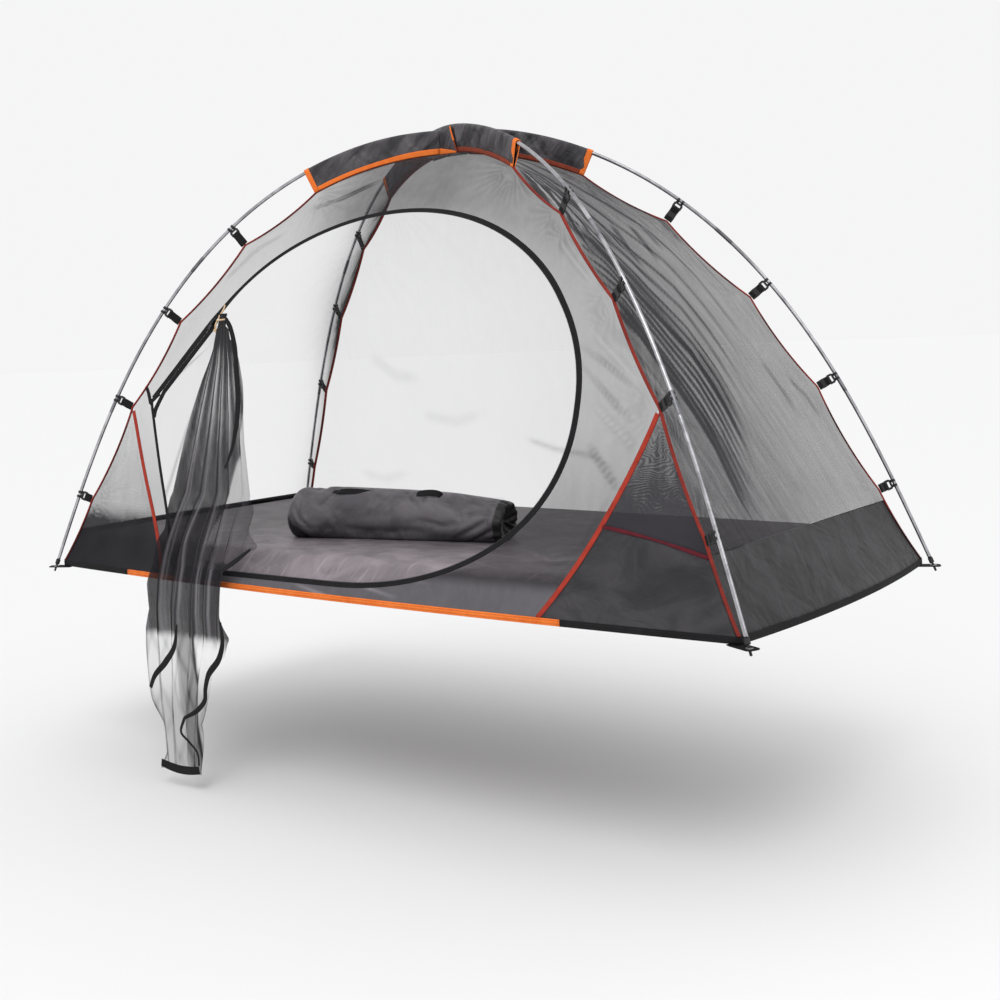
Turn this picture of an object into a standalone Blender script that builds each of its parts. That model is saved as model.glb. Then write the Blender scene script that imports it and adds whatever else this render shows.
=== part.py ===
# Bed tent: a mesh dome on two crossed spring poles, pitched over a mattress.
# Metres, +Z up, +X along the bed, -Y the side with the door.
# The origin is the centre of the floor sheet's underside, where the mattress carries it.

import bpy
import bmesh
import math
import numpy as np
from mathutils import Matrix, Vector

for old in list(bpy.data.objects):
    bpy.data.objects.remove(old, do_unlink=True)

FIT = 0.0003  # gap left between pieces that touch

# Poles and plan
POLE_DIAMETER = 0.0085
POLE_HALF_SPAN = 1.076  # peak to pole end, measured level
POLE_RISE = 1.016  # pole end to peak
POLE_END_HEIGHT = -0.068
PLAN_SLOPE = 0.45  # depth over length of the line each pole crosses the bed on
CROSSING_REACH = 0.12  # length over which the poles part to pass each other
POLE_STEPS = 9  # lengths each pole is drawn in under a sleeve

# Pole ends and the corner tabs that hold them
TIP_COLLAR_LENGTH = 0.012
TIP_COLLAR_RADIUS = 0.0055
TIP_PIN_LENGTH = 0.020
TIP_PIN_RADIUS = 0.0026
TAB_THICKNESS = 0.002
TAB_WIDTH = 0.030
TAB_OVERHANG = 0.016  # tab past the pin
TAB_LAP = 0.022  # tab under the hem
GROMMET_RADIUS = 0.0075
GROMMET_HEIGHT = 0.0008
GROMMET_BORE = 0.0046

# Ridges, sleeves and clips, by length along the pole from the peak
PEAK_ARC = 0.062
SLEEVE_START = 0.034
SLEEVE_REACH = 0.36
SLEEVE_DROP = 0.055
SLEEVE_CLOTH = 0.0012
SLEEVE_SLACK = 0.0006
SLEEVE_FOOT_HALF = 0.0026
CROSSING_GAP = 0.056  # length of upper sleeve left open for the lower pole
CLIP_ARCS = (0.595, 0.865, 1.125, 1.395)
CLIP_DROPS = (0.055, 0.053, 0.048, 0.037)
SCALLOP = 0.008
CORNER_OUT = 1.058
RIDGE_TAPE_WIDTH = 0.005
RIDGE_TAPE_DEPTH = 0.004
SPAN_STEPS = 3

# Clips
HOOK_CLEARANCE = 0.0003
HOOK_WALL = 0.0024
HOOK_SWEEP = 250
PRONG_WIDTH = 0.0055
PRONG_GAP = 0.006
FRAME_WIDTH = 0.023
FRAME_LENGTH = 0.014
FRAME_THICKNESS = 0.0036
SLOT_WIDTH = 0.013
SLOT_LENGTH = 0.0042
STRAP_WIDTH = 0.020
STRAP_THICKNESS = 0.0018

# Walls, floor and hem
CLOTH = 0.0012
FLOOR_CLOTH = 0.0015
SEAM_GAP = 0.0006
HEM_TOP = -0.072
HEM_HEIGHT = 0.012
HEM_WIDTH = 0.005
SIDE_BOW = 0.035  # front and back hems stand this far outside the line between the corners
END_BOW = 0.030
BOW_TOP = 0.12
WALL_FOOT = HEM_TOP + 0.0007  # the leaning cloth's inner edge comes lower than its outer one
FLOOR_EDGE_DROP = 0.012
FLOOR_INSET = 0.034
FLOOR_LEAN = 0.005  # room behind the door's foot for the slider
BAND_TOP_RIGHT = 0.062
BAND_TOP_LEFT = 0.012

# Front seams, as x and z on the front wall
SEAM_CLIP_INDEX = 2  # the gusset seams rise to this clip
SEAM_FOOT = 0.55
SEAM_BOW = 0.015
SEAM_TAPE_WIDTH = 0.008
SEAM_TAPE_CLOTH = 0.0016
GUSSET_SPLIT_OUTER = 0.058
GUSSET_SPLIT_INNER = 0.100

# Door
DOOR_CENTRE_HEIGHT = 0.335
DOOR_HALF_WIDTH = 0.581
DOOR_RISE = 0.417
DOOR_DROP = 0.385
DOOR_LOWER_POWER = 2.2
DOOR_TANGENT = 1.0  # slope of the straight run down to the hinge
HINGE_TOP = (-0.700, 0.336)
HINGE_FOOT = (-0.525, -0.054)
HINGE_BOW = 0.010
RUN_STEPS = 12
HINGE_TAPE_HALF = 0.005
TAPE_HALF_SLIM = 0.007
TAPE_HALF_WIDE = 0.012
TAPE_HALF_FOOT = 0.009
TAPE_CLOTH = 0.0016
COIL_GAP = 0.0032
DOOR_TAPE_HALF = 0.0055
DOOR_TAPE_END = 0.262  # along the zipper from the hinge, as are the next two
ZIP_STOP = 0.045
SLIDER_UPPER = 0.262
SLIDER_LOWER_REST = 0.035  # short of the zipper's far end
ZIP_STOP_DROP = 0.034
WEB_END = (-0.500, 0.492)
TIE_X = -0.478

# Hanging part of the door, rows of (height, left x, right x, fold depth)
DRAPE_ROWS = (
    (0.542, -0.488, -0.460, 0.0060),
    (0.528, -0.485, -0.463, 0.0050),
    (0.514, -0.487, -0.456, 0.0060),
    (0.476, -0.491, -0.418, 0.0090),
    (0.380, -0.505, -0.368, 0.0130),
    (0.240, -0.532, -0.318, 0.0170),
    (0.110, -0.551, -0.280, 0.0190),
    (0.000, -0.529, -0.239, 0.0190),
    (-0.035, -0.531, -0.239, 0.0185),
    (-0.070, -0.542, -0.245, 0.0180),
    (-0.140, -0.564, -0.265, 0.0180),
    (-0.220, -0.586, -0.290, 0.0180),
    (-0.300, -0.584, -0.330, 0.0170),
    (-0.380, -0.566, -0.372, 0.0160),
    (-0.450, -0.566, -0.384, 0.0150),
    (-0.515, -0.570, -0.392, 0.0140),
)
DRAPE_FOLDS = 5
DRAPE_COLUMNS = 30
DRAPE_CLOTH = 0.0014
DRAPE_STANDOFF = 0.004
NECK_STANDOFF = 0.005  # further room for the cord behind the neck
DRAPE_HANG_Y = -0.496  # clear of the lower slider's pull when that is lifted
DRAPE_LEAVES = 0.120  # height where the cloth leaves the wall
DRAPE_FREE = -0.140  # height from which it hangs straight
TIE_CORD = 0.004
TIE_SNUG = 0.0006
TIE_SLACK = 0.0014
TIE_ROOT = (-0.488, 0.563)

# Zipper sliders
SLIDER_LENGTH = 0.018
SLIDER_WIDTH = 0.011
SLIDER_PLATE = 0.0018
SLIDER_CLEARANCE = 0.0007
BRIDGE_WIDTH = 0.0016
BAIL_RADIUS = 0.0011
BAIL_HEIGHT = 0.0056
BAIL_SINK = 0.0005
BAIL_HALF_SPAN = 0.0050
PULL_LENGTH = 0.025
PULL_WIDTH = 0.008
PULL_THICKNESS = 0.0016
PULL_BAR = 0.0022  # the end of the pull that lies under the bail
PULL_EYE = 0.0094

# Carry bag lying on the floor
BAG_LENGTH = 0.58
BAG_RADIUS = 0.062
BAG_FLAT = 0.050  # height of the axis above the floor
BAG_CENTRE = (-0.040, -0.150)
BAG_YAW = 13.5
HANDLE_SPOTS = (-0.105, 0.088)
HANDLE_SPANS = (0.082, 0.062)
HANDLE_RISES = (0.020, 0.024)
HANDLE_WIDTH = 0.016
HANDLE_CLOTH = 0.0030
HANDLE_ROOT = 0.0036

ARMS = {
    "front_left": (-1, -1),
    "back_right": (1, 1),
    "front_right": (1, -1),
    "back_left": (-1, 1),
}
UPPER_ARMS = ("front_right", "back_left")

parts = bpy.data.collections.new("bed_tent")
cutters = bpy.data.collections.new("cutters")
for group in (parts, cutters):
    bpy.context.scene.collection.children.link(group)


def finish(name, colour, roughness, metallic=0.0):
    material = bpy.data.materials.new(name)
    material.use_nodes = True
    shader = material.node_tree.nodes["Principled BSDF"]
    shader.inputs["Base Color"].default_value = (*colour, 1.0)
    shader.inputs["Roughness"].default_value = roughness
    shader.inputs["Metallic"].default_value = metallic
    return material


def add_part(name, mesh, look, matrix=None):
    obj = bpy.data.objects.new(name, mesh)
    parts.objects.link(obj)
    obj.data.materials.clear()
    obj.data.materials.append(finish(name, *look))
    if matrix is not None:
        obj.matrix_world = matrix
    return obj


NET = ((0.10, 0.10, 0.11), 0.8)
BASE_CLOTH = ((0.05, 0.05, 0.055), 0.6)
BINDING = ((0.45, 0.10, 0.05), 0.7)
HEM = ((0.85, 0.25, 0.05), 0.7)
TAPE = ((0.02, 0.02, 0.022), 0.7)
PLASTIC = ((0.03, 0.03, 0.032), 0.45)
STEEL = ((0.75, 0.75, 0.77), 0.25, 1.0)
CORD = ((0.75, 0.58, 0.42), 0.8)
BAG_CLOTH = ((0.09, 0.09, 0.095), 0.6)


def clean_mesh(name, bm):
    bmesh.ops.remove_doubles(bm, verts=bm.verts, dist=0.000001)
    bmesh.ops.recalc_face_normals(bm, faces=bm.faces)
    mesh = bpy.data.meshes.new(name)
    bm.to_mesh(mesh)
    bm.free()
    return mesh


def sheet_mesh(name, rows, closed=False):
    # an open surface through rows of points
    bm = bmesh.new()
    grid = [[bm.verts.new(point) for point in row] for row in rows]
    for lower, upper in zip(grid, grid[1:]):
        count = len(lower)
        for i in range(count if closed else count - 1):
            j = (i + 1) % count
            bm.faces.new((lower[i], lower[j], upper[j], upper[i]))
    mesh = bpy.data.meshes.new(name)
    bm.to_mesh(mesh)
    bm.free()
    mesh.shade_smooth()
    return mesh


def loft_mesh(name, rings, loop=False):
    # a closed body through rings of points, capped at both ends unless it closes on itself
    bm = bmesh.new()
    grid = [[bm.verts.new(point) for point in ring] for ring in rings]
    pairs = list(zip(grid, grid[1:]))
    if loop:
        pairs.append((grid[-1], grid[0]))
    for lower, upper in pairs:
        for i in range(len(lower)):
            j = (i + 1) % len(lower)
            bm.faces.new((lower[i], lower[j], upper[j], upper[i]))
    if not loop:
        bm.faces.new(grid[0])
        bm.faces.new(grid[-1])
    return clean_mesh(name, bm)


def thicken(obj, thickness, side, even=True):
    # side -1 keeps the drawn surface as the outer face, 0 keeps it in the middle
    shell = obj.modifiers.new("cloth", "SOLIDIFY")
    shell.thickness = thickness
    shell.offset = side
    shell.use_even_offset = even


def poly_tube(name, points, radius, look, resolution=2, cyclic=False):
    curve = bpy.data.curves.new(name, "CURVE")
    curve.dimensions = "3D"
    curve.bevel_depth = radius
    curve.bevel_resolution = resolution
    curve.use_fill_caps = True
    spline = curve.splines.new("POLY")
    spline.points.add(len(points) - 1)
    for slot, point in zip(spline.points, points):
        slot.co = (*point, 1.0)
    spline.use_cyclic_u = cyclic
    return add_part(name, curve, look)


def flat_mesh(name, outlines, thickness):
    # a plate from closed outlines, the first one outside and the rest its holes
    curve = bpy.data.curves.new(name, "CURVE")
    curve.dimensions = "2D"
    curve.fill_mode = "BOTH"
    curve.extrude = thickness / 2
    for outline in outlines:
        spline = curve.splines.new("POLY")
        spline.points.add(len(outline) - 1)
        for slot, point in zip(spline.points, outline):
            slot.co = (point[0], point[1], 0.0, 1.0)
        spline.use_cyclic_u = True
    holder = bpy.data.objects.new(name, curve)
    cutters.objects.link(holder)
    bpy.context.view_layer.update()
    solid = holder.evaluated_get(bpy.context.evaluated_depsgraph_get())
    mesh = bpy.data.meshes.new_from_object(solid)
    bpy.data.objects.remove(holder, do_unlink=True)
    bm = bmesh.new()
    bm.from_mesh(mesh)
    return clean_mesh(name, bm)


def hidden(name, mesh, matrix=None):
    obj = bpy.data.objects.new(name, mesh)
    cutters.objects.link(obj)
    obj.hide_render = True
    obj.display_type = "WIRE"
    if matrix is not None:
        obj.matrix_world = matrix
    return obj


def combine(obj, other, operation):
    join = obj.modifiers.new(operation.lower(), "BOOLEAN")
    join.operation = operation
    join.solver = "EXACT"
    join.object = other


def baked(name, base, steps):
    # the mesh that a base mesh becomes after boolean steps, for pieces that share it
    work = hidden(name, base)
    for number, (operation, mesh, matrix) in enumerate(steps):
        combine(work, hidden(f"{name}_{number}", mesh, matrix), operation)
    bpy.context.view_layer.update()
    result = bpy.data.meshes.new_from_object(work.evaluated_get(bpy.context.evaluated_depsgraph_get()))
    result.name = name
    return result


def box_mesh(name, size):
    bm = bmesh.new()
    bmesh.ops.create_cube(bm, size=1.0)
    bmesh.ops.scale(bm, vec=size, verts=bm.verts)
    return clean_mesh(name, bm)


def rod_mesh(name, radius, length, sides):
    bm = bmesh.new()
    bmesh.ops.create_cone(bm, cap_ends=True, segments=sides, radius1=radius, radius2=radius, depth=length)
    return clean_mesh(name, bm)


# The arch of a pole
def running_sum(values, step):
    return np.concatenate([[0.0], np.cumsum((values[1:] + values[:-1]) * step / 2)])


def solve_arch(half_span, rise):
    # a straight springy pole bowed between two pinned ends is an elastica
    angle = np.linspace(0.0, math.pi / 2, 2001)
    low = 0.05
    high = 0.85
    for _ in range(60):
        k = (low + high) / 2
        root = np.sqrt(1 - (k * np.sin(angle)) ** 2)
        first = running_sum(1 / root, angle[1])
        second = running_sum(root, angle[1])
        if 2 * k / (2 * second[-1] - first[-1]) < rise / half_span:
            low = k
        else:
            high = k
    scale = rise / (2 * k)
    lean = 2 * np.arcsin(k * np.sin(angle))
    return first * scale, (2 * second - first) * scale, rise * np.cos(angle), lean


ARC, OUT, UP, LEAN = solve_arch(POLE_HALF_SPAN, POLE_RISE)
HALF_LENGTH = float(ARC[-1])
PLAN_X = 1 / math.hypot(1, PLAN_SLOPE)
PLAN_Y = PLAN_SLOPE / math.hypot(1, PLAN_SLOPE)


def pole_at(arc):
    # distance out from the peak, height, and lean below level
    out = float(np.interp(arc, ARC, OUT))
    up = float(np.interp(arc, ARC, UP)) + POLE_END_HEIGHT
    return out, up, float(np.interp(arc, ARC, LEAN))


def crossing_lift(arm, arc):
    side = 1 if arm in UPPER_ARMS else -1
    return side * (POLE_DIAMETER + FIT) / 2 * math.exp(-((arc / CROSSING_REACH) ** 2))


def place(arm, out, up):
    return Vector((ARMS[arm][0] * PLAN_X * out, ARMS[arm][1] * PLAN_Y * out, up))


def across(arm):
    return Vector((-ARMS[arm][1] * PLAN_Y, ARMS[arm][0] * PLAN_X, 0.0))


def pole_point(arm, arc):
    out, up, lean = pole_at(arc)
    return place(arm, out, up + crossing_lift(arm, arc))


def arm_frame(arm, arc):
    # origin on the pole, x down along it, z outwards
    out, up, lean = pole_at(arc)
    along = place(arm, math.cos(lean), -math.sin(lean))
    outward = place(arm, math.sin(lean), math.cos(lean))
    side = outward.cross(along)
    matrix = Matrix((along, side, outward)).transposed().to_4x4()
    matrix.translation = pole_point(arm, arc)
    return matrix


# The ridges, where the walls meet under the poles
def below_pole(arc, drop):
    out, up, lean = pole_at(arc)
    return out - drop * math.sin(lean), up - drop * math.cos(lean)


ANCHORS = [(SLEEVE_REACH, below_pole(SLEEVE_REACH, SLEEVE_DROP))]
ANCHORS += [(arc, below_pole(arc, drop)) for arc, drop in zip(CLIP_ARCS, CLIP_DROPS)]
ANCHORS += [(HALF_LENGTH, (CORNER_OUT, HEM_TOP))]


def ridge_at(arc):
    if arc <= SLEEVE_REACH:
        return below_pole(arc, SLEEVE_DROP)
    for (arc_a, (out_a, up_a)), (arc_b, (out_b, up_b)) in zip(ANCHORS, ANCHORS[1:]):
        if arc <= arc_b:
            break
    share = min((arc - arc_a) / (arc_b - arc_a), 1.0)
    run = math.hypot(out_b - out_a, up_b - up_a)
    pull = SCALLOP * 4 * share * (1 - share)
    if arc_b == HALF_LENGTH:
        pull = pull / 2
    out = out_a + share * (out_b - out_a) + pull * (up_b - up_a) / run
    return out, up_a + share * (up_b - up_a) - pull * (out_b - out_a) / run


RIDGE_ARCS = [PEAK_ARC + (SLEEVE_REACH - PEAK_ARC) * i / SPAN_STEPS for i in range(SPAN_STEPS)]
for (start, _), (end, _) in zip(ANCHORS, ANCHORS[1:]):
    RIDGE_ARCS += [start + (end - start) * i / SPAN_STEPS for i in range(SPAN_STEPS)]
RIDGE_ARCS.append(HALF_LENGTH)

FINE = [ridge_at(arc) for arc in np.linspace(0.0, HALF_LENGTH, 321)]
FINE_OUT = np.array([out for out, up in FINE])[::-1]
FINE_UP = np.array([up for out, up in FINE])[::-1]


def ridge_out(height):
    return float(np.interp(height, FINE_UP, FINE_OUT))


# between the ridges the cloth evens out the pull of the clips
SMOOTH = np.polynomial.Polynomial.fit(FINE_OUT, FINE_UP, 6)
SMOOTH_UP = np.sort(SMOOTH(FINE_OUT))
SLEEVE_FOOT = ANCHORS[0][1][1]


def cloth_out(height, share):
    smooth = float(np.interp(height, SMOOTH_UP, FINE_OUT))
    near_peak = min(max((height - SLEEVE_FOOT) / 0.05, 0.0), 1.0)
    return smooth + (ridge_out(height) - smooth) * max(share ** 6, near_peak)


def bow(height):
    return min(max((BOW_TOP - height) / (BOW_TOP - HEM_TOP), 0.0), 1.0) ** 2


def side_depth(x, height):
    # how far the front and back walls stand from the middle of the bed
    share = min(abs(x) / (PLAN_X * ridge_out(height)), 1.0)
    return PLAN_Y * cloth_out(height, share) + SIDE_BOW * (1 - share ** 2) * bow(height)


def end_depth(y, height):
    share = min(abs(y) / (PLAN_Y * ridge_out(height)), 1.0)
    return PLAN_X * cloth_out(height, share) + END_BOW * (1 - share ** 2) * bow(height)


def front(x, height, lift=0.0):
    return Vector((x, -side_depth(x, height) - lift, height))


def front_normal(x, height):
    step = 0.004
    rise = front(x, height + step) - front(x, height - step)
    run = front(x + step, height) - front(x - step, height)
    return run.cross(rise).normalized()


EDGE_MARGIN = math.hypot(RIDGE_TAPE_WIDTH, RIDGE_TAPE_DEPTH) / 2 + SEAM_GAP


def ridge_slope(arc):
    out_a, up_a = ridge_at(max(arc - 0.004, 0.0))
    out_b, up_b = ridge_at(min(arc + 0.004, HALF_LENGTH))
    return math.atan2(up_a - up_b, out_b - out_a)


def wall_edge(arc, share):
    # how far back from the ridge a wall stops, so that its edge clears the ridge tape
    level = math.cos(ridge_slope(arc)) * share
    return EDGE_MARGIN / math.sqrt(1 - level ** 2)


def shifted(points, gap, plane_up=1.0):
    # a 2D path moved sideways, to its left when positive
    result = []
    for i, point in enumerate(points):
        before = points[max(i - 1, 0)]
        after = points[min(i + 1, len(points) - 1)]
        run = (after[0] - before[0], after[1] - before[1])
        size = math.hypot(*run)
        width = gap[i] if isinstance(gap, list) else gap
        result.append((point[0] - run[1] / size * width, point[1] + run[0] / size * width))
    return result


# Poles and their ends
def pole_stations():
    # straight for the width of every clip
    arcs = [SLEEVE_REACH * i / POLE_STEPS for i in range(POLE_STEPS + 1)]
    for arc in CLIP_ARCS:
        start = arcs[-1]
        gap = arc - FRAME_WIDTH / 2 - start
        arcs += [start + gap / 3, start + gap * 2 / 3, start + gap, arc + FRAME_WIDTH / 2]
    arcs += [(arcs[-1] + HALF_LENGTH) / 2, HALF_LENGTH]
    return arcs


def make_poles():
    for name, first, second in (("pole_lower", "front_left", "back_right"), ("pole_upper", "front_right", "back_left")):
        arcs = pole_stations()
        points = [pole_point(first, arc) for arc in reversed(arcs)] + [pole_point(second, arc) for arc in arcs[1:]]
        poly_tube(name, points, POLE_DIAMETER / 2, STEEL)


def end_matrix(arm):
    # origin at the pole's end, z along the pole, pointing out of it
    frame = arm_frame(arm, HALF_LENGTH)
    turn = Matrix.Rotation(math.radians(90), 4, "Y")
    return frame @ turn


def turned(name, profile, look, matrix, steps=12):
    bm = bmesh.new()
    verts = [bm.verts.new((radius, 0.0, height)) for radius, height in profile]
    for a, b in zip(verts, verts[1:]):
        bm.edges.new((a, b))
    mesh = bpy.data.meshes.new(name)
    bm.to_mesh(mesh)
    bm.free()
    obj = add_part(name, mesh, look, matrix)
    spin = obj.modifiers.new("turn", "SCREW")
    spin.steps = steps
    spin.render_steps = steps
    spin.use_merge_vertices = True
    spin.merge_threshold = 0.00001
    return obj


TAB_TOP = HEM_TOP - FIT - HEM_HEIGHT - FIT


def make_pole_ends():
    chamfer = 0.001
    for arm in ARMS:
        top = FIT
        profile = [
            (0.0, top + TIP_COLLAR_LENGTH + TIP_PIN_LENGTH),
            (TIP_PIN_RADIUS - chamfer, top + TIP_COLLAR_LENGTH + TIP_PIN_LENGTH),
            (TIP_PIN_RADIUS, top + TIP_COLLAR_LENGTH + TIP_PIN_LENGTH - chamfer),
            (TIP_PIN_RADIUS, top + TIP_COLLAR_LENGTH),
            (TIP_COLLAR_RADIUS - chamfer, top + TIP_COLLAR_LENGTH),
            (TIP_COLLAR_RADIUS, top + TIP_COLLAR_LENGTH - chamfer),
            (TIP_COLLAR_RADIUS, top),
            (0.0, top),
        ]
        turned(f"pole_tip_{arm}", profile, PLASTIC, end_matrix(arm))


def make_corner_tabs():
    out, up, lean = pole_at(HALF_LENGTH)
    pin_out = out + (up - TAB_TOP + TAB_THICKNESS / 2) / math.tan(lean)
    inner = CORNER_OUT - TAB_LAP
    outer = pin_out + TAB_OVERHANG
    corner = TAB_WIDTH / 4
    half = TAB_WIDTH / 2
    outline = [(inner, -half), (outer - corner, -half), (outer, -half + corner)]
    outline += [(outer, half - corner), (outer - corner, half), (inner, half)]
    plate = flat_mesh("tab_plate", [outline], TAB_THICKNESS)
    ring = rod_mesh("grommet_disc", GROMMET_RADIUS, TAB_THICKNESS + 2 * GROMMET_HEIGHT, 14)
    bore = rod_mesh("grommet_bore", GROMMET_BORE, TAB_THICKNESS * 5, 14)
    spot = Matrix.Translation((pin_out, 0.0, 0.0))
    mesh = baked("corner_tab", plate, [("UNION", ring, spot), ("DIFFERENCE", bore, spot)])
    for arm, (sx, sy) in ARMS.items():
        turn = math.atan2(sy * PLAN_Y, sx * PLAN_X)
        matrix = Matrix.Translation((0, 0, TAB_TOP - TAB_THICKNESS / 2)) @ Matrix.Rotation(turn, 4, "Z")
        add_part(f"corner_tab_{arm}", mesh.copy(), TAPE, matrix)


# Sleeves: cloth folded over a pole and sewn to the ridge below it
def sleeve_row(arm, arc):
    bore = POLE_DIAMETER / 2 + SLEEVE_SLACK + SLEEVE_CLOTH
    top = pole_point(arm, arc)
    out, up, lean = pole_at(arc)
    outward = place(arm, math.sin(lean), math.cos(lean))
    side = across(arm)
    foot_out, foot_up = ridge_at(arc)
    foot = place(arm, foot_out, foot_up) + outward * (RIDGE_TAPE_DEPTH / 2 + FIT)
    waist = (top - outward * bore * 1.6 + foot) / 2
    row = [foot - side * SLEEVE_FOOT_HALF, waist - side * (SLEEVE_FOOT_HALF + bore) / 2]
    for step in range(5):
        angle = math.radians(180 - 45 * step)
        row.append(top + side * bore * math.cos(angle) + outward * bore * math.sin(angle))
    row += [waist + side * (SLEEVE_FOOT_HALF + bore) / 2, foot + side * SLEEVE_FOOT_HALF]
    return row


def make_sleeves():
    steps = 8
    arcs = [SLEEVE_START + (SLEEVE_REACH - SLEEVE_START) * i / steps for i in range(steps + 1)]
    for arm in ("front_left", "back_right"):
        mesh = sheet_mesh(f"sleeve_{arm}", [sleeve_row(arm, arc) for arc in arcs])
        sleeve = add_part(f"sleeve_{arm}", mesh, BASE_CLOTH)
        thicken(sleeve, SLEEVE_CLOTH, -1)
    lap = [SLEEVE_REACH * i / steps for i in range(steps + 1)]
    rows = [list(reversed(sleeve_row("back_left", arc))) for arc in reversed(lap)]
    rows += [sleeve_row("front_right", arc) for arc in lap[1:]]
    sleeve = add_part("sleeve_over_peak", sheet_mesh("sleeve_over_peak", rows), BASE_CLOTH)
    thicken(sleeve, SLEEVE_CLOTH, -1)
    peak = pole_point("front_left", 0.0).z
    roof = peak + POLE_DIAMETER / 2 + FIT
    depth = SLEEVE_DROP * 1.5
    cutter = box_mesh("crossing_cut", (CROSSING_GAP, 0.06, depth))
    turn = Matrix.Rotation(math.atan2(-PLAN_Y, PLAN_X), 4, "Z")
    spot = Matrix.Translation((0.0, 0.0, roof - depth / 2)) @ turn
    combine(sleeve, hidden("crossing_cut", cutter, spot), "DIFFERENCE")


# Ridge tapes, the peak patch and the clips
def make_ridge_tapes():
    arcs = RIDGE_ARCS
    for arm in ARMS:
        rings = []
        for arc in arcs:
            out, up = ridge_at(arc)
            slope = ridge_slope(arc)
            outward = place(arm, math.sin(slope), math.cos(slope))
            side = across(arm)
            middle = place(arm, out, up)
            if arc == HALF_LENGTH:
                middle = middle + Vector((0.0, 0.0, FIT + RIDGE_TAPE_DEPTH / 2))
            half_w = side * RIDGE_TAPE_WIDTH / 2
            half_d = outward * RIDGE_TAPE_DEPTH / 2
            rings.append([middle - half_w - half_d, middle + half_w - half_d, middle + half_w + half_d, middle - half_w + half_d])
        add_part(f"ridge_tape_{arm}", loft_mesh(f"ridge_tape_{arm}", rings), BINDING)


def make_peak_patch():
    out, up = ridge_at(PEAK_ARC)
    size = (2 * (PLAN_X * out - SEAM_GAP), 2 * (PLAN_Y * out - SEAM_GAP), CLOTH)
    corner = 2 * RIDGE_TAPE_WIDTH
    x, y = size[0] / 2, size[1] / 2
    outline = [(x, y - corner / 2), (x - corner, y), (corner - x, y), (-x, y - corner / 2)]
    outline += [(-x, corner / 2 - y), (corner - x, -y), (x - corner, -y), (x, corner / 2 - y)]
    mesh = flat_mesh("peak_patch", [outline], CLOTH)
    add_part("peak_patch", mesh, BASE_CLOTH, Matrix.Translation((0.0, 0.0, up - CLOTH / 2)))


def ridge_below(arc):
    # highest the ridge tape comes under a clip's strap, measured from the pole
    out, up, lean = pole_at(arc)
    heights = []
    for near in np.linspace(arc - STRAP_WIDTH / 2, arc + STRAP_WIDTH / 2, 9):
        ridge = ridge_at(float(near))
        heights.append((ridge[0] - out) * math.sin(lean) + (ridge[1] - up) * math.cos(lean))
    return max(heights) + RIDGE_TAPE_DEPTH / 2


def clip_mesh(arc):
    # x along the pole, z away from the tent
    inner = POLE_DIAMETER / 2 + HOOK_CLEARANCE
    outer = inner + HOOK_WALL
    steps = 8
    bend = [math.radians(-90 - HOOK_SWEEP / 2 + HOOK_SWEEP * i / steps) for i in range(steps + 1)]
    hook = [(outer * math.cos(a), outer * math.sin(a)) for a in bend]
    hook += [(inner * math.cos(a), inner * math.sin(a)) for a in reversed(bend)]
    prong = flat_mesh("prong", [hook], PRONG_WIDTH)
    upright = Matrix(((0, 0, 1, 0), (1, 0, 0, 0), (0, 1, 0, 0), (0, 0, 0, 1)))
    shift = (PRONG_WIDTH + PRONG_GAP) / 2
    frame_top = -inner - HOOK_WALL / 2
    half = FRAME_WIDTH / 2
    trim = 0.002
    shoulder = (2 * PRONG_WIDTH + PRONG_GAP) / 2
    foot = frame_top - FRAME_LENGTH
    outline = [(-shoulder, frame_top), (-half, frame_top - 2 * trim), (-half, foot), (half, foot)]
    outline += [(half, frame_top - 2 * trim), (shoulder, frame_top)]
    slot_top = frame_top - FRAME_LENGTH / 2 + SLOT_LENGTH / 2
    slot = [(-SLOT_WIDTH / 2, slot_top), (SLOT_WIDTH / 2, slot_top)]
    slot += [(SLOT_WIDTH / 2, slot_top - SLOT_LENGTH), (-SLOT_WIDTH / 2, slot_top - SLOT_LENGTH)]
    plate = flat_mesh("clip_frame", [outline, slot], FRAME_THICKNESS)
    stand = Matrix.Rotation(math.radians(90), 4, "X")
    bm = bmesh.new()
    bm.from_mesh(plate)
    bmesh.ops.transform(bm, matrix=stand, verts=bm.verts)
    plate = clean_mesh("clip_frame", bm)
    strap_top = slot_top - SLOT_LENGTH - trim
    strap_foot = ridge_below(arc) + FIT
    strap = box_mesh("strap", (STRAP_WIDTH, STRAP_THICKNESS, strap_top - strap_foot))
    return baked("clip", plate, [
        ("UNION", prong, Matrix.Translation((shift, 0, 0)) @ upright),
        ("UNION", prong.copy(), Matrix.Translation((-shift, 0, 0)) @ upright),
        ("UNION", strap, Matrix.Translation((0, 0, (strap_top + strap_foot) / 2))),
    ])


def make_clips():
    for number, arc in enumerate(CLIP_ARCS, start=1):
        mesh = clip_mesh(arc)
        for arm in ARMS:
            add_part(f"clip_{arm}_{number}", mesh.copy(), PLASTIC, arm_frame(arm, arc))


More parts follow.
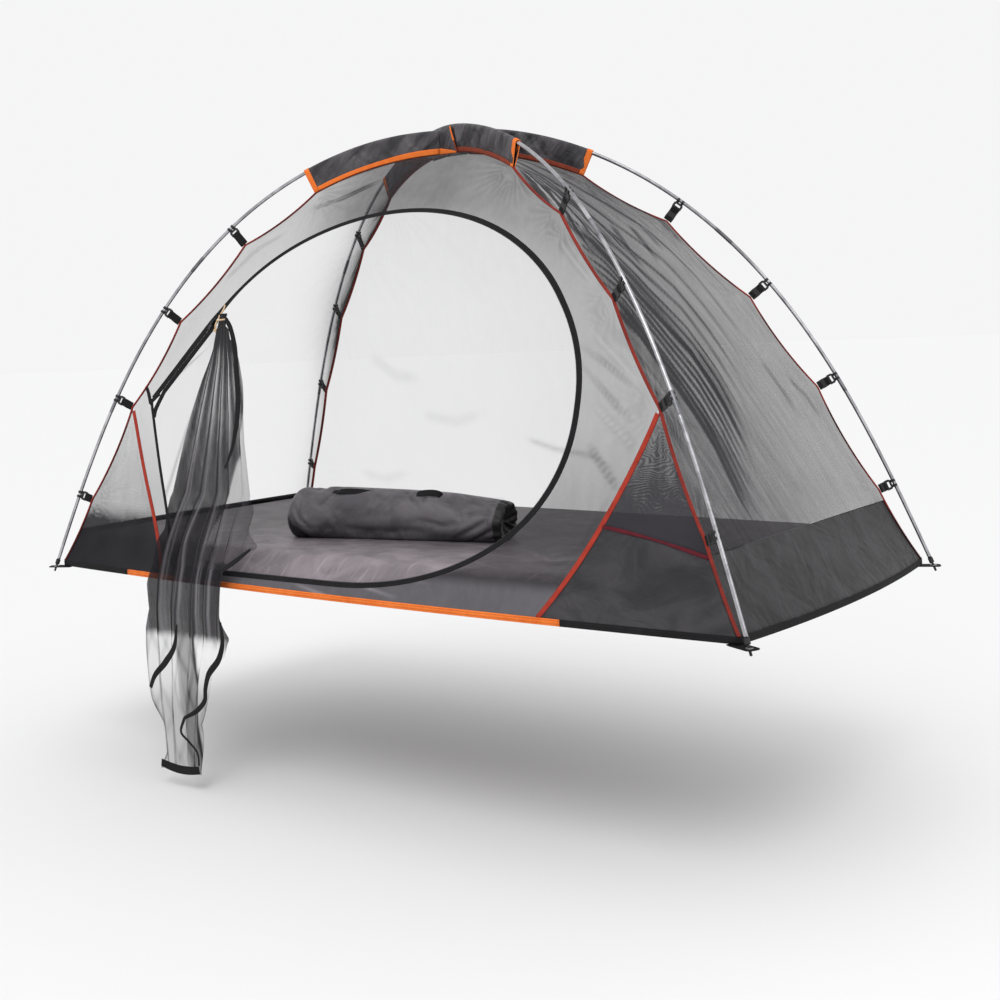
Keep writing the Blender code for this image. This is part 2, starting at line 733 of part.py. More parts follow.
# Walls
def wall_rows(depth, share, sign, along_x, low=None, high=None):
    # rows across a wall from the peak down, kept between two heights where they are given
    arcs = list(RIDGE_ARCS)
    heights = [ridge_at(arc)[1] for arc in arcs]
    levels = [(h, a) for h, a in zip(heights, arcs) if (low is None or h > low + 0.01) and (high is None or h < high - 0.01)]
    if high is not None:
        levels.insert(0, (high, None))
    if low is not None:
        levels.append((low, None))
    rows = []
    for height, arc in levels:
        if arc is None:
            arc = float(np.interp(-height, [-h for h in heights], arcs))
        out = ridge_out(height)
        reach = (PLAN_X if along_x else PLAN_Y) * out - wall_edge(arc, share)
        if arc == HALF_LENGTH:
            height = WALL_FOOT
        row = []
        for step in range(9):
            t = -reach + 2 * reach * step / 8
            row.append(Vector((t, sign * depth(t, height), height)) if along_x else Vector((sign * depth(t, height), t, height)))
        rows.append(row)
    return rows


def add_wall(name, rows, look, outward):
    mesh = sheet_mesh(name, rows)
    middle = mesh.polygons[len(mesh.polygons) // 2]
    if middle.normal.dot(Vector(outward)) < 0:
        mesh.flip_normals()
    thicken(add_part(name, mesh, look), CLOTH, -1)


def make_walls():
    add_wall("back_net", wall_rows(side_depth, PLAN_X, 1, True), NET, (0, 1, 0.2))
    for name, sign, top in (("right", 1, BAND_TOP_RIGHT), ("left", -1, BAND_TOP_LEFT)):
        upper = wall_rows(end_depth, PLAN_Y, sign, False, low=top + SEAM_GAP / 2)
        lower = wall_rows(end_depth, PLAN_Y, sign, False, high=top - SEAM_GAP / 2)
        add_wall(f"{name}_net", upper, NET, (sign, 0, 0.2))
        add_wall(f"{name}_band", lower, BASE_CLOTH, (sign, 0, 0.2))


# The front wall is drawn as x and z, then laid on the curved surface
SEAM_TOP_OUT, SEAM_TOP = ANCHORS[SEAM_CLIP_INDEX + 1][1]
SEAM_TOP_X = PLAN_X * SEAM_TOP_OUT


def seam_x(height):
    share = (height - HEM_TOP) / (SEAM_TOP - HEM_TOP)
    return SEAM_FOOT + share * (SEAM_TOP_X - SEAM_FOOT) + 4 * SEAM_BOW * share * (1 - share)


def hinge_x(height):
    share = (height - HINGE_FOOT[1]) / (HINGE_TOP[1] - HINGE_FOOT[1])
    return HINGE_FOOT[0] + share * (HINGE_TOP[0] - HINGE_FOOT[0]) - 4 * HINGE_BOW * share * (1 - share)


def zip_path():
    # from the hinge's top, up the straight run, round the arch and back along the foot
    points = []
    ratio = (DOOR_HALF_WIDTH / DOOR_RISE) ** 2 / DOOR_TANGENT
    level = 1 / math.sqrt((ratio / DOOR_HALF_WIDTH) ** 2 + (1 / DOOR_RISE) ** 2)
    join = (-ratio * level, DOOR_CENTRE_HEIGHT + level)
    for i in range(RUN_STEPS):
        share = i / RUN_STEPS
        points.append((HINGE_TOP[0] + (join[0] - HINGE_TOP[0]) * share, HINGE_TOP[1] + (join[1] - HINGE_TOP[1]) * share))
    start = math.atan2(level / DOOR_RISE, -ratio * level / DOOR_HALF_WIDTH)
    for i in range(19):
        angle = start * (1 - i / 19)
        points.append((DOOR_HALF_WIDTH * math.cos(angle), DOOR_CENTRE_HEIGHT + DOOR_RISE * math.sin(angle)))
    for i in range(15):
        angle = math.radians(90) * i / 15
        x = DOOR_HALF_WIDTH * math.cos(angle) ** (2 / DOOR_LOWER_POWER)
        points.append((x, DOOR_CENTRE_HEIGHT - DOOR_DROP * math.sin(angle) ** (2 / DOOR_LOWER_POWER)))
    foot = DOOR_CENTRE_HEIGHT - DOOR_DROP
    for i in range(7):
        points.append((HINGE_FOOT[0] * i / 6, foot + (HINGE_FOOT[1] - foot) * i / 6))
    return points


def path_lengths():
    path = zip_path()
    return np.concatenate([[0.0], np.cumsum([math.dist(a, b) for a, b in zip(path, path[1:])])])


def hinge_path():
    levels = [HINGE_FOOT[1] + (HINGE_TOP[1] - HINGE_FOOT[1]) * i / 8 for i in range(9)]
    return [(hinge_x(height), height) for height in levels]


def tape_halves(points):
    # the tape shows narrow up the left and over the top, wide down the right, and mid-wide along the foot
    halves = []
    for x, height in points:
        right = min(max((x - 0.15) / 0.35, 0.0), 1.0)
        side = TAPE_HALF_SLIM + (TAPE_HALF_WIDE - TAPE_HALF_SLIM) * right
        low = min(max((DOOR_CENTRE_HEIGHT - 0.15 - height) / 0.20, 0.0), 1.0) if x > HINGE_TOP[0] / 2 or height < 0.05 else 0.0
        halves.append(side + (TAPE_HALF_FOOT - side) * low)
    return halves


def trimmed(points, start, end):
    # a 2D path with a length taken off each end
    def cut(path, length):
        path = list(path)
        while True:
            run = math.dist(path[0], path[1])
            if run > length:
                share = length / run
                path[0] = (path[0][0] + share * (path[1][0] - path[0][0]), path[0][1] + share * (path[1][1] - path[0][1]))
                return path
            length = length - run
            path.pop(0)
    return cut(cut(points, start)[::-1], end)[::-1]


def stretched(points, extra):
    first = (np.array(points[0]) - np.array(points[1]))
    last = (np.array(points[-1]) - np.array(points[-2]))
    head = np.array(points[0]) + first / np.linalg.norm(first) * extra
    tail = np.array(points[-1]) + last / np.linalg.norm(last) * extra
    return [tuple(head)] + list(points) + [tuple(tail)]


def ray_reach(centre, angle, paths):
    # nearest crossing of a ray with any of the paths
    best = None
    dx, dz = math.cos(angle), math.sin(angle)
    for path in paths:
        for (ax, az), (bx, bz) in zip(path, path[1:]):
            ex, ez = bx - ax, bz - az
            cross = dx * ez - dz * ex
            if abs(cross) < 1e-12:
                continue
            reach = ((ax - centre[0]) * ez - (az - centre[1]) * ex) / cross
            share = ((ax - centre[0]) * dz - (az - centre[1]) * dx) / cross
            if reach > 0 and -1e-9 <= share <= 1 + 1e-9 and (best is None or reach < best):
                best = reach
    return best


def crossing(first, second):
    # where two short 2D paths cross, extended if they have to be
    best = None
    for a, b in zip(first, first[1:]):
        for c, d in zip(second, second[1:]):
            run, other = (b[0] - a[0], b[1] - a[1]), (d[0] - c[0], d[1] - c[1])
            cross = run[0] * other[1] - run[1] * other[0]
            t = ((c[0] - a[0]) * other[1] - (c[1] - a[1]) * other[0]) / cross
            u = ((c[0] - a[0]) * run[1] - (c[1] - a[1]) * run[0]) / cross
            miss = max(-t, t - 1, -u, u - 1)
            if best is None or miss < best[0]:
                best = (miss, (a[0] + run[0] * t, a[1] + run[1] * t))
    return best[1]


def front_outline():
    # the border of the middle panel: hem, right seam, right ridge, peak, and back down the left
    seam_gap = SEAM_TAPE_WIDTH / 2 + SEAM_GAP
    foot = WALL_FOOT
    seam = []
    for i in range(7):
        height = foot + (SEAM_TOP - 0.004 - foot) * i / 6
        seam.append((seam_x(height) - seam_gap * 1.12, height))
    ridge = []
    for arc in reversed(RIDGE_ARCS):
        out, up = ridge_at(arc)
        if up > SEAM_TOP + 0.008:
            ridge.append((PLAN_X * out - wall_edge(arc, PLAN_X), up))
    right = seam + ridge
    left = [(-x, height) for x, height in reversed(right)]
    return right + left


def make_front_net():
    centre = (0.0, DOOR_CENTRE_HEIGHT)
    path = zip_path()
    halves = [half + SEAM_GAP * 1.5 for half in tape_halves(path)]
    zip_edge = stretched(shifted(path, halves), 0.05)
    hinge_edge = stretched(shifted(hinge_path(), HINGE_TAPE_HALF + SEAM_GAP), 0.05)
    outline = front_outline()
    border = outline + [outline[0]]
    corners = [crossing(zip_edge[:3], hinge_edge[-3:]), crossing(zip_edge[-3:], hinge_edge[:3])]
    angles = []
    for x, height in corners + outline + zip_edge[2:-2] + hinge_edge[2:-2]:
        angle = math.atan2(height - centre[1], x - centre[0])
        if all(abs(angle - other) > 0.004 for other in angles):
            angles.append(angle)
    rings = [[], [], [], []]
    for angle in sorted(angles):
        near = ray_reach(centre, angle, [zip_edge, hinge_edge])
        far = ray_reach(centre, angle, [border])
        for share, ring in zip((0.0, 0.33, 0.67, 1.0), rings):
            reach = near + (far - near) * share
            ring.append(front(centre[0] + reach * math.cos(angle), centre[1] + reach * math.sin(angle)))
    mesh = sheet_mesh("front_net", rings, closed=True)
    if mesh.polygons[0].normal.y > 0:
        mesh.flip_normals()
    thicken(add_part("front_net", mesh, NET), CLOTH, -1)


def gusset_rows(sign, low, high, low_outer=None, high_outer=None):
    # between a gusset seam and the ridge beside it
    rows = []
    steps = 8
    for i in range(steps + 1):
        share = i / steps
        inner_h = low + (high - low) * share
        outer_h = (low if low_outer is None else low_outer)
        outer_h = outer_h + ((high if high_outer is None else high_outer) - outer_h) * share
        start = seam_x(inner_h) + (SEAM_TAPE_WIDTH / 2 + SEAM_GAP) * 1.12
        arc = float(np.interp(-outer_h, -FINE_UP[::-1], np.linspace(0.0, HALF_LENGTH, 321)))
        end = PLAN_X * ridge_out(outer_h) - wall_edge(arc, PLAN_X)
        row = []
        for j in range(5):
            t = j / 4
            height = inner_h + (outer_h - inner_h) * t
            row.append(front(sign * (start + (end - start) * t), height))
        rows.append(row)
    return rows


def make_gussets():
    foot = WALL_FOOT
    top = SEAM_TOP - 0.045
    add_wall("front_gusset_left", gusset_rows(-1, foot, top), NET, (0, -1, 0.2))
    half = SEAM_GAP / 2
    upper = gusset_rows(1, GUSSET_SPLIT_INNER + half, top, GUSSET_SPLIT_OUTER + half, top)
    add_wall("front_gusset_right", upper, NET, (0, -1, 0.2))
    lower = gusset_rows(1, foot, GUSSET_SPLIT_INNER - half, foot, GUSSET_SPLIT_OUTER - half)
    add_wall("corner_panel_right", lower, BASE_CLOTH, (0, -1, 0.2))


def ribbon(name, left_edge, right_edge, cloth, look, columns=2):
    # a flat tape on the front wall between two 2D edges
    rows = []
    for (ax, az), (bx, bz) in zip(left_edge, right_edge):
        rows.append([front(ax + (bx - ax) * i / columns, az + (bz - az) * i / columns) for i in range(columns + 1)])
    mesh = sheet_mesh(name, rows)
    if mesh.polygons[0].normal.y > 0:
        mesh.flip_normals()
    thicken(add_part(name, mesh, look), cloth, -1)


def make_front_tapes():
    foot = WALL_FOOT
    top = SEAM_TOP - 0.020
    for name, sign in (("left", -1), ("right", 1)):
        path = []
        for i in range(9):
            height = foot + (top - foot) * i / 8
            path.append((sign * seam_x(height), height))
        half = SEAM_TAPE_WIDTH / 2
        left = [(x - half * 1.1, height) for x, height in path]
        right = [(x + half * 1.1, height) for x, height in path]
        ribbon(f"gusset_tape_{name}", left, right, SEAM_TAPE_CLOTH, BINDING, columns=1)
    path = trimmed(zip_path(), HINGE_TAPE_HALF + SEAM_GAP + 0.004, HINGE_TAPE_HALF + SEAM_GAP + 0.008)
    halves = tape_halves(path)
    ribbon("zipper_tape", shifted(path, halves), shifted(path, [-half for half in halves]), TAPE_CLOTH, TAPE)
    hinge = hinge_path()
    ribbon("hinge_seam", shifted(hinge, HINGE_TAPE_HALF), shifted(hinge, -HINGE_TAPE_HALF), TAPE_CLOTH, TAPE, columns=1)


# Hem and floor
def around(i, steps, height, inset):
    # a point round the tent at one height, set in from the walls
    side, t = divmod(i, steps)
    share = -1 + 2 * t / steps
    out = ridge_out(height)
    x, y = PLAN_X * out, PLAN_Y * out
    far = end_depth(share * y, height)
    deep = side_depth(share * x, height)
    spots = ((share * x, -deep), (far, share * y), (-share * x, deep), (-far, -share * y))
    px, py = spots[side]
    return px * (x - inset) / x, py * (y - inset) / y


def make_hem():
    steps = 9
    rings = []
    top = HEM_TOP - FIT
    for i in range(4 * steps):
        inner = around(i, steps, HEM_TOP, HEM_WIDTH * 0.75)
        outer = around(i, steps, HEM_TOP, -HEM_WIDTH * 0.25)
        rings.append([(*inner, top), (*outer, top), (*outer, top - HEM_HEIGHT), (*inner, top - HEM_HEIGHT)])
    add_part("hem_tape", loft_mesh("hem_tape", rings, loop=True), HEM)


def make_floor():
    steps = 8
    outer_inset = CLOTH + SEAM_GAP * 3
    levels = (
        (FLOOR_INSET, FLOOR_CLOTH),
        (FLOOR_INSET * 0.62, FLOOR_CLOTH - FLOOR_EDGE_DROP * 0.2),
        (FLOOR_INSET * 0.40, FLOOR_CLOTH - FLOOR_EDGE_DROP),
        (outer_inset + FLOOR_LEAN, HEM_TOP / 2),
        (outer_inset, WALL_FOOT + FIT),
    )
    bm = bmesh.new()
    grid = []
    for inset, height in levels:
        grid.append([bm.verts.new((*around(i, steps, height, inset), height)) for i in range(4 * steps)])
    for upper, lower in zip(grid, grid[1:]):
        for i in range(len(upper)):
            j = (i + 1) % len(upper)
            bm.faces.new((upper[i], lower[i], lower[j], upper[j]))
    bm.faces.new(grid[0])
    mesh = bpy.data.meshes.new("floor_sheet")
    bm.to_mesh(mesh)
    bm.free()
    mesh.shade_smooth()
    thicken(add_part("floor_sheet", mesh, BASE_CLOTH), FLOOR_CLOTH, -1)


# The door, tied open
def make_door_tape():
    # the door's own half of the zipper, still done up from the hinge to the tie
    centre = shifted(zip_path(), -(TAPE_HALF_SLIM + COIL_GAP + DOOR_TAPE_HALF))
    lengths = path_lengths()
    low = HINGE_TOP[1] - ZIP_STOP_DROP
    points = [(hinge_x(low) + (HINGE_TAPE_HALF + SEAM_GAP) * 1.3 + DOOR_TAPE_HALF, low)]
    for i in range(7):
        at = ZIP_STOP + (DOOR_TAPE_END - ZIP_STOP) * i / 6
        points.append(tuple(float(np.interp(at, lengths, [p[k] for p in centre])) for k in (0, 1)))
    half = DOOR_TAPE_HALF
    ribbon("door_zip_tape", shifted(points, half), shifted(points, -half), TAPE_CLOTH, TAPE, columns=1)
    return shifted(points, -(half + SEAM_GAP * 1.5))


def make_door_web(top_edge):
    # net between the hinge and the tie, drawn into a fan
    rows = []
    steps = 7
    low = HINGE_FOOT[1] + 0.012
    high = top_edge[0][1] - 0.016
    for i in range(steps + 1):
        share = i / steps
        height = low + (high - low) * share
        start = (hinge_x(height) + (HINGE_TAPE_HALF + SEAM_GAP) * 1.2, height)
        end = (WEB_END[0] - 0.002 + 0.006 * share, WEB_END[1] - 0.024 * (1 - share))
        rows.append([front(start[0] + (end[0] - start[0]) * j / 6, start[1] + (end[1] - start[1]) * j / 6) for j in range(7)])
    spans = np.concatenate([[0.0], np.cumsum([math.dist(a, b) for a, b in zip(top_edge, top_edge[1:])])])
    top = []
    for j in range(7):
        at = spans[-1] * (0.02 + 0.96 * j / 6)
        top.append(front(*(float(np.interp(at, spans, [p[k] for p in top_edge])) for k in (0, 1))))
    rows.append(top)
    mesh = sheet_mesh("door_web", rows)
    if mesh.polygons[0].normal.y > 0:
        mesh.flip_normals()
    thicken(add_part("door_web", mesh, NET), CLOTH, -1)


def drape_values(height):
    heights = [-row[0] for row in DRAPE_ROWS]
    return [float(np.interp(-height, heights, [row[k] for row in DRAPE_ROWS])) for k in (1, 2, 3)]


def drape_rest_y(height):
    # follows the sloping wall at first, then hangs straight
    lift = DRAPE_STANDOFF + NECK_STANDOFF * min(max((height - 0.42) / 0.08, 0.0), 1.0)
    wall = -side_depth(-0.42, max(height, HEM_TOP)) - lift
    share = min(max((DRAPE_LEAVES - height) / (DRAPE_LEAVES - DRAPE_FREE), 0.0), 1.0)
    return wall + (DRAPE_HANG_Y - wall) * share


def make_drape():
    rows = []
    for height, left, right, depth in DRAPE_ROWS:
        base = drape_rest_y(height)
        row = []
        for j in range(DRAPE_COLUMNS + 1):
            share = j / DRAPE_COLUMNS
            phase = 2 * math.pi * DRAPE_FOLDS * share + 1.1 * math.sin(2.3 * height)
            ripple = 0.5 + 0.5 * math.cos(phase) * (0.75 + 0.25 * math.cos(5 * share + 2 * height))
            sway = 0.10 * (right - left) / DRAPE_FOLDS * math.sin(phase)
            row.append(Vector((left + (right - left) * share + sway, base - DRAPE_CLOTH - depth * ripple, height)))
        rows.append(row)
    mesh = sheet_mesh("door_drape", rows)
    if mesh.polygons[0].normal.y > 0:
        mesh.flip_normals()
    pivot = Vector((TIE_X, rows[1][0].y, DRAPE_ROWS[1][0]))
    mesh.transform(Matrix.Translation(-pivot))
    thicken(add_part("door_drape", mesh, NET, Matrix.Translation(pivot)), DRAPE_CLOTH, 0, even=False)
    return rows


def make_tie(rows):
    # a cord sewn to the zipper tape, once round the neck of the gathered door
    neck = rows[1]
    low = Vector([min(p[k] for p in neck) for k in range(3)])
    high = Vector([max(p[k] for p in neck) for k in range(3)])
    centre = (low + high) / 2
    room = (DRAPE_CLOTH + TIE_CORD) / 2
    reach_x = (high.x - low.x) / 2 + room + TIE_SNUG
    reach_y = (high.y - low.y) / 2 + room + TIE_SLACK
    root = [front(TIE_ROOT[0], TIE_ROOT[1] - drop, TIE_CORD / 2 + FIT) for drop in (0.0, 0.009)]
    points = list(root)
    for i in range(19):
        angle = math.radians(160 - 330 * i / 18)
        x = math.copysign(abs(math.cos(angle)) ** 0.3, math.cos(angle))
        y = math.copysign(abs(math.sin(angle)) ** 0.3, math.sin(angle))
        points.append(centre + Vector((reach_x * x, reach_y * y, 0.0)))
    for drop, out in ((0.008, 0.0035), (0.024, 0.0065)):
        points.append(points[20] - Vector((out, 0.0, drop)))
    poly_tube("door_tie", points, TIE_CORD / 2, CORD, resolution=1)


# Zipper sliders, each straddling the coil, and their pulls
def slider_spot(start_share):
    # point and frame on the zip path: x along the path, z out of the wall
    path = zip_path()
    lengths = path_lengths()
    halves = tape_halves(path)
    inner = shifted(path, [-(half + COIL_GAP / 2) for half in halves])
    spots = []
    for at in (start_share, start_share + SLIDER_LENGTH / 2, start_share - SLIDER_LENGTH / 2):
        x = float(np.interp(at, lengths, [p[0] for p in inner]))
        z = float(np.interp(at, lengths, [p[1] for p in inner]))
        spots.append((x, z))
    middle = front(*spots[0])
    along = (front(*spots[1]) - front(*spots[2])).normalized()
    outward = front_normal(*spots[0])
    outward = (outward - along * outward.dot(along)).normalized()
    side = outward.cross(along)
    matrix = Matrix((along, side, outward)).transposed().to_4x4()
    matrix.translation = middle
    return matrix


def slider_mesh():
    reach = TAPE_CLOTH + 2 * SLIDER_CLEARANCE
    half_l = SLIDER_LENGTH / 2
    half_w = SLIDER_WIDTH / 2
    nose = half_w * 0.6
    outline = [(-half_l, -nose), (-half_l * 0.4, -half_w), (half_l, -half_w * 0.9), (half_l, half_w * 0.9)]
    outline += [(-half_l * 0.4, half_w), (-half_l, nose)]
    plate = flat_mesh("slider_plate", [outline], SLIDER_PLATE)
    lift = Matrix.Translation((0, 0, SLIDER_CLEARANCE + SLIDER_PLATE / 2))
    bm = bmesh.new()
    bm.from_mesh(plate)
    bmesh.ops.transform(bm, matrix=lift, verts=bm.verts)
    top = clean_mesh("slider_top", bm)
    bottom = Matrix.Translation((0, 0, -reach + SLIDER_CLEARANCE - SLIDER_PLATE / 2))
    bridge = box_mesh("slider_bridge", (SLIDER_LENGTH * 0.4, BRIDGE_WIDTH, reach + SLIDER_PLATE))
    bridge_spot = Matrix.Translation((-SLIDER_LENGTH * 0.2, 0, SLIDER_CLEARANCE - reach / 2))
    post = box_mesh("bail_post", (BAIL_RADIUS * 2, PULL_WIDTH * 0.5, BAIL_HEIGHT))
    base = SLIDER_CLEARANCE + SLIDER_PLATE
    post_a = Matrix.Translation((-BAIL_HALF_SPAN, 0, base + BAIL_HEIGHT / 2 - BAIL_SINK))
    post_b = Matrix.Translation((BAIL_HALF_SPAN, 0, base + BAIL_HEIGHT / 2 - BAIL_SINK))
    bar = box_mesh("bail_bar", (2 * (BAIL_HALF_SPAN + BAIL_RADIUS), PULL_WIDTH * 0.5, BAIL_RADIUS * 2))
    bar_spot = Matrix.Translation((0, 0, base + BAIL_HEIGHT - BAIL_RADIUS - BAIL_SINK))
    return baked("slider", top, [
        ("UNION", plate.copy(), bottom),
        ("UNION", bridge, bridge_spot),
        ("UNION", post, post_a),
        ("UNION", post.copy(), post_b),
        ("UNION", bar, bar_spot),
    ])


PULL_PIVOT = SLIDER_CLEARANCE + SLIDER_PLATE + (BAIL_HEIGHT - BAIL_SINK) / 2 - BAIL_RADIUS


def make_sliders():
    mesh = slider_mesh()
    half = PULL_WIDTH / 2
    waist = PULL_LENGTH * 0.55
    outline = [(-half, -PULL_BAR / 2), (half, -PULL_BAR / 2), (half, waist), (half * 0.6, PULL_LENGTH)]
    outline += [(-half * 0.6, PULL_LENGTH), (-half, waist)]
    near, far = PULL_BAR / 2, PULL_BAR / 2 + PULL_EYE
    side = PULL_WIDTH * 0.31
    hole = [(-side, near), (side, near), (side, far), (-side, far)]
    tab = flat_mesh("pull_plate", [outline, hole], PULL_THICKNESS)
    starts = {"upper": SLIDER_UPPER, "lower": path_lengths()[-1] - SLIDER_LOWER_REST}
    for name, start in starts.items():
        frame = slider_spot(start)
        add_part(f"zip_slider_{name}", mesh.copy(), STEEL, frame)
        # the pull lies along the track, its eye round the bail
        turn = Matrix.Rotation(math.radians(90), 4, "Z")
        pivot = Matrix.Translation((BAIL_HALF_SPAN / 2, 0, PULL_PIVOT))
        add_part(f"zip_pull_{name}", tab.copy(), STEEL, frame @ pivot @ turn)


# Carry bag
BAG_FRAME = Matrix.Translation((*BAG_CENTRE, FLOOR_CLOTH + FIT)) @ Matrix.Rotation(math.radians(BAG_YAW), 4, "Z")


def bag_section(share):
    # half-width and height factor along the bag, rounded at the left end and gathered at the right
    left = min((share + 0.004) / 0.07, 1.0)
    right = min((1.004 - share) / 0.10, 1.0)
    return math.sqrt(1 - (1 - left) ** 2) * (0.80 + 0.20 * math.sqrt(1 - (1 - right) ** 2))


def make_bag():
    rings = []
    stations = (0.0, 0.015, 0.04, 0.08, 0.2, 0.35, 0.5, 0.65, 0.8, 0.9, 0.95, 0.985, 1.0)
    for share in stations:
        size = bag_section(share)
        ring = []
        for i in range(20):
            angle = 2 * math.pi * i / 20
            y = BAG_RADIUS * size * math.cos(angle)
            z = BAG_FLAT + BAG_RADIUS * size * math.sin(angle)
            ring.append(Vector((BAG_LENGTH * (share - 0.5), y, max(z, 0.0))))
        rings.append(ring)
    mesh = loft_mesh("bag_body", rings)
    mesh.shade_smooth()
    add_part("bag_body", mesh, BAG_CLOTH, BAG_FRAME)


def make_handles():
    crown = BAG_FLAT + BAG_RADIUS + HANDLE_ROOT / 2 + FIT
    for name, spot, span, rise in zip(("left", "right"), HANDLE_SPOTS, HANDLE_SPANS, HANDLE_RISES):
        rings = []
        steps = 10
        for height, size in ((-0.42, 0.45), (-0.25, 0.85)):
            turns = [2 * math.pi * k / 8 for k in range(8)]
            half = HANDLE_ROOT / 2 * size
            rings.append([Vector((-span / 2 - half * math.sin(t), half * math.cos(t), HANDLE_ROOT * height)) for t in turns])
        for i in range(steps + 1):
            share = i / steps
            angle = math.pi * share
            x = -span / 2 * math.cos(angle)
            z = rise * math.sin(angle) ** 0.8
            slope = math.atan2(rise * math.cos(angle), span / 2 * math.sin(angle) + 0.0001)
            swell = min(math.sin(angle) * 1.6, 1.0)
            half_w = (HANDLE_ROOT + (HANDLE_WIDTH - HANDLE_ROOT) * swell) / 2
            half_t = (HANDLE_ROOT + (HANDLE_CLOTH - HANDLE_ROOT) * swell) / 2
            normal = Vector((-math.sin(slope), 0, math.cos(slope)))
            ring = []
            for k in range(8):
                turn = 2 * math.pi * k / 8
                ring.append(Vector((x, 0, z)) + Vector((0, 1, 0)) * half_w * math.cos(turn) + normal * half_t * math.sin(turn))
            rings.append(ring)
        rings += [[Vector((-p.x, p.y, p.z)) for p in ring] for ring in (rings[1], rings[0])]
        mesh = loft_mesh(f"bag_handle_{name}", rings)
        mesh.shade_smooth()
        add_part(f"bag_handle_{name}", mesh, TAPE, BAG_FRAME @ Matrix.Translation((spot, 0, crown)))


make_poles()
make_pole_ends()
make_corner_tabs()
make_sleeves()
make_ridge_tapes()
make_peak_patch()
make_clips()
make_walls()
make_front_net()
make_gussets()
make_front_tapes()
make_hem()
make_floor()
make_door_web(make_door_tape())
make_tie(make_drape())
make_sliders()
make_bag()
make_handles()
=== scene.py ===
# Bed tent: net, cloth, tapes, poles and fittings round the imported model, in metres
import math

import bmesh
import bpy
import numpy as np
from mathutils import Matrix, Vector


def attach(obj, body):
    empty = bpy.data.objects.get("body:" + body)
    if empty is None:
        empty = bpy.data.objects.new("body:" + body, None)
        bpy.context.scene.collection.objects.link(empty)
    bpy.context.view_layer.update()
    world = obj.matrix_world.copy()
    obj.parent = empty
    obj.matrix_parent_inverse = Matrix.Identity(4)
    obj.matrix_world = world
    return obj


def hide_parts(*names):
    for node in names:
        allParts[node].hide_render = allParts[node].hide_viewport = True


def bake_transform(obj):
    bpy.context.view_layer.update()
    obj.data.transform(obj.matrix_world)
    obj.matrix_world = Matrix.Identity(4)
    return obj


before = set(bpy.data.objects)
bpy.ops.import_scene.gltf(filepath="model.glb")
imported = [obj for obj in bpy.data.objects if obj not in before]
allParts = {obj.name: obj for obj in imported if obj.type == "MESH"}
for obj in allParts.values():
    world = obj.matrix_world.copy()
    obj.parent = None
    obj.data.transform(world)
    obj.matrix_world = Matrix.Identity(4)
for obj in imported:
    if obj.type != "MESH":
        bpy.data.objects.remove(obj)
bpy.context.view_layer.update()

made = {}  # piece name: its object, body, the nodes it stands for, its slot
blended = []  # pieces that cross a joint


# Camera, light and the pale floor
view = {
    "place": (2.0700619, -2.5323954, 0.4746696),
    "right": (0.7974349, 0.6020602, -0.0402668),
    "down": (0.0091399, -0.0787770, -0.9968504),
    "frame": 1000.0,  # the picture's width, in its own pixels
    "focal": 1373.217,
    "centre": (505.744, 424.205),
    "sensor": 36.0,
    "far": 200.0,
    "floorHeight": -0.56,
    "floorReach": 60.0,
    "floorTone": 0.86,
    "sky": (0.915, 0.915, 0.918),
    "lamps": (  # name, kind, power, place, aim, and a sun's angle or a lamp's width
        ("sun", "SUN", 0.66, (1.6, -2.4, 4.2), (0.0, 0.0, 0.2), 0.5),
        ("keyLamp", "AREA", 9.0, (0.4, -2.2, 2.6), (0.1, 0.0, 0.3), 1.6),
        ("sideLamp", "AREA", 7.0, (3.0, -0.6, 1.6), (0.6, 0.0, 0.3), 1.2),
    ),
}


def makeStudio():
    scene = bpy.context.scene
    scene.view_settings.view_transform = "Standard"
    right, up = Vector(view["right"]).normalized(), -Vector(view["down"]).normalized()
    turn = Matrix((right, up, right.cross(up))).transposed().to_4x4()
    lens = bpy.data.cameras.new("camera")
    lens.sensor_width = view["sensor"]
    lens.lens = view["focal"] * view["sensor"] / view["frame"]
    lens.shift_x = (view["frame"] / 2 - view["centre"][0]) / view["frame"]
    lens.shift_y = (view["centre"][1] - view["frame"] / 2) / view["frame"]
    lens.clip_end = view["far"]
    camera = bpy.data.objects.new("camera", lens)
    camera.matrix_world = Matrix.Translation(view["place"]) @ turn
    scene.collection.objects.link(camera)
    scene.camera = camera
    world = bpy.data.worlds.new("paleRoom")
    world.use_nodes = True
    world.node_tree.nodes["Background"].inputs["Color"].default_value = (*view["sky"], 1.0)
    scene.world = world
    for name, kind, power, place, aim, size in view["lamps"]:
        lamp = bpy.data.lights.new(name, kind)
        lamp.energy = power
        setattr(lamp, "angle" if kind == "SUN" else "size", size)
        holder = bpy.data.objects.new(name, lamp)
        holder.location = place
        holder.rotation_euler = (Vector(aim) - Vector(place)).to_track_quat("-Z", "Y").to_euler()
        scene.collection.objects.link(holder)
    bm = bmesh.new()
    bmesh.ops.create_circle(bm, cap_ends=True, radius=view["floorReach"], segments=64)
    mesh = bpy.data.meshes.new("floor")
    bm.to_mesh(mesh)
    bm.free()
    mesh.transform(Matrix.Translation((0.0, 0.0, view["floorHeight"])))
    floor = bpy.data.objects.new("floor", mesh)
    scene.collection.objects.link(floor)
    plain = Finish("paleFloor", 0.9)
    plain.set("Base Color", (*[view["floorTone"]] * 3, 1.0))
    plain.set("Specular IOR Level", 0.0)
    floor.data.materials.append(plain.material)


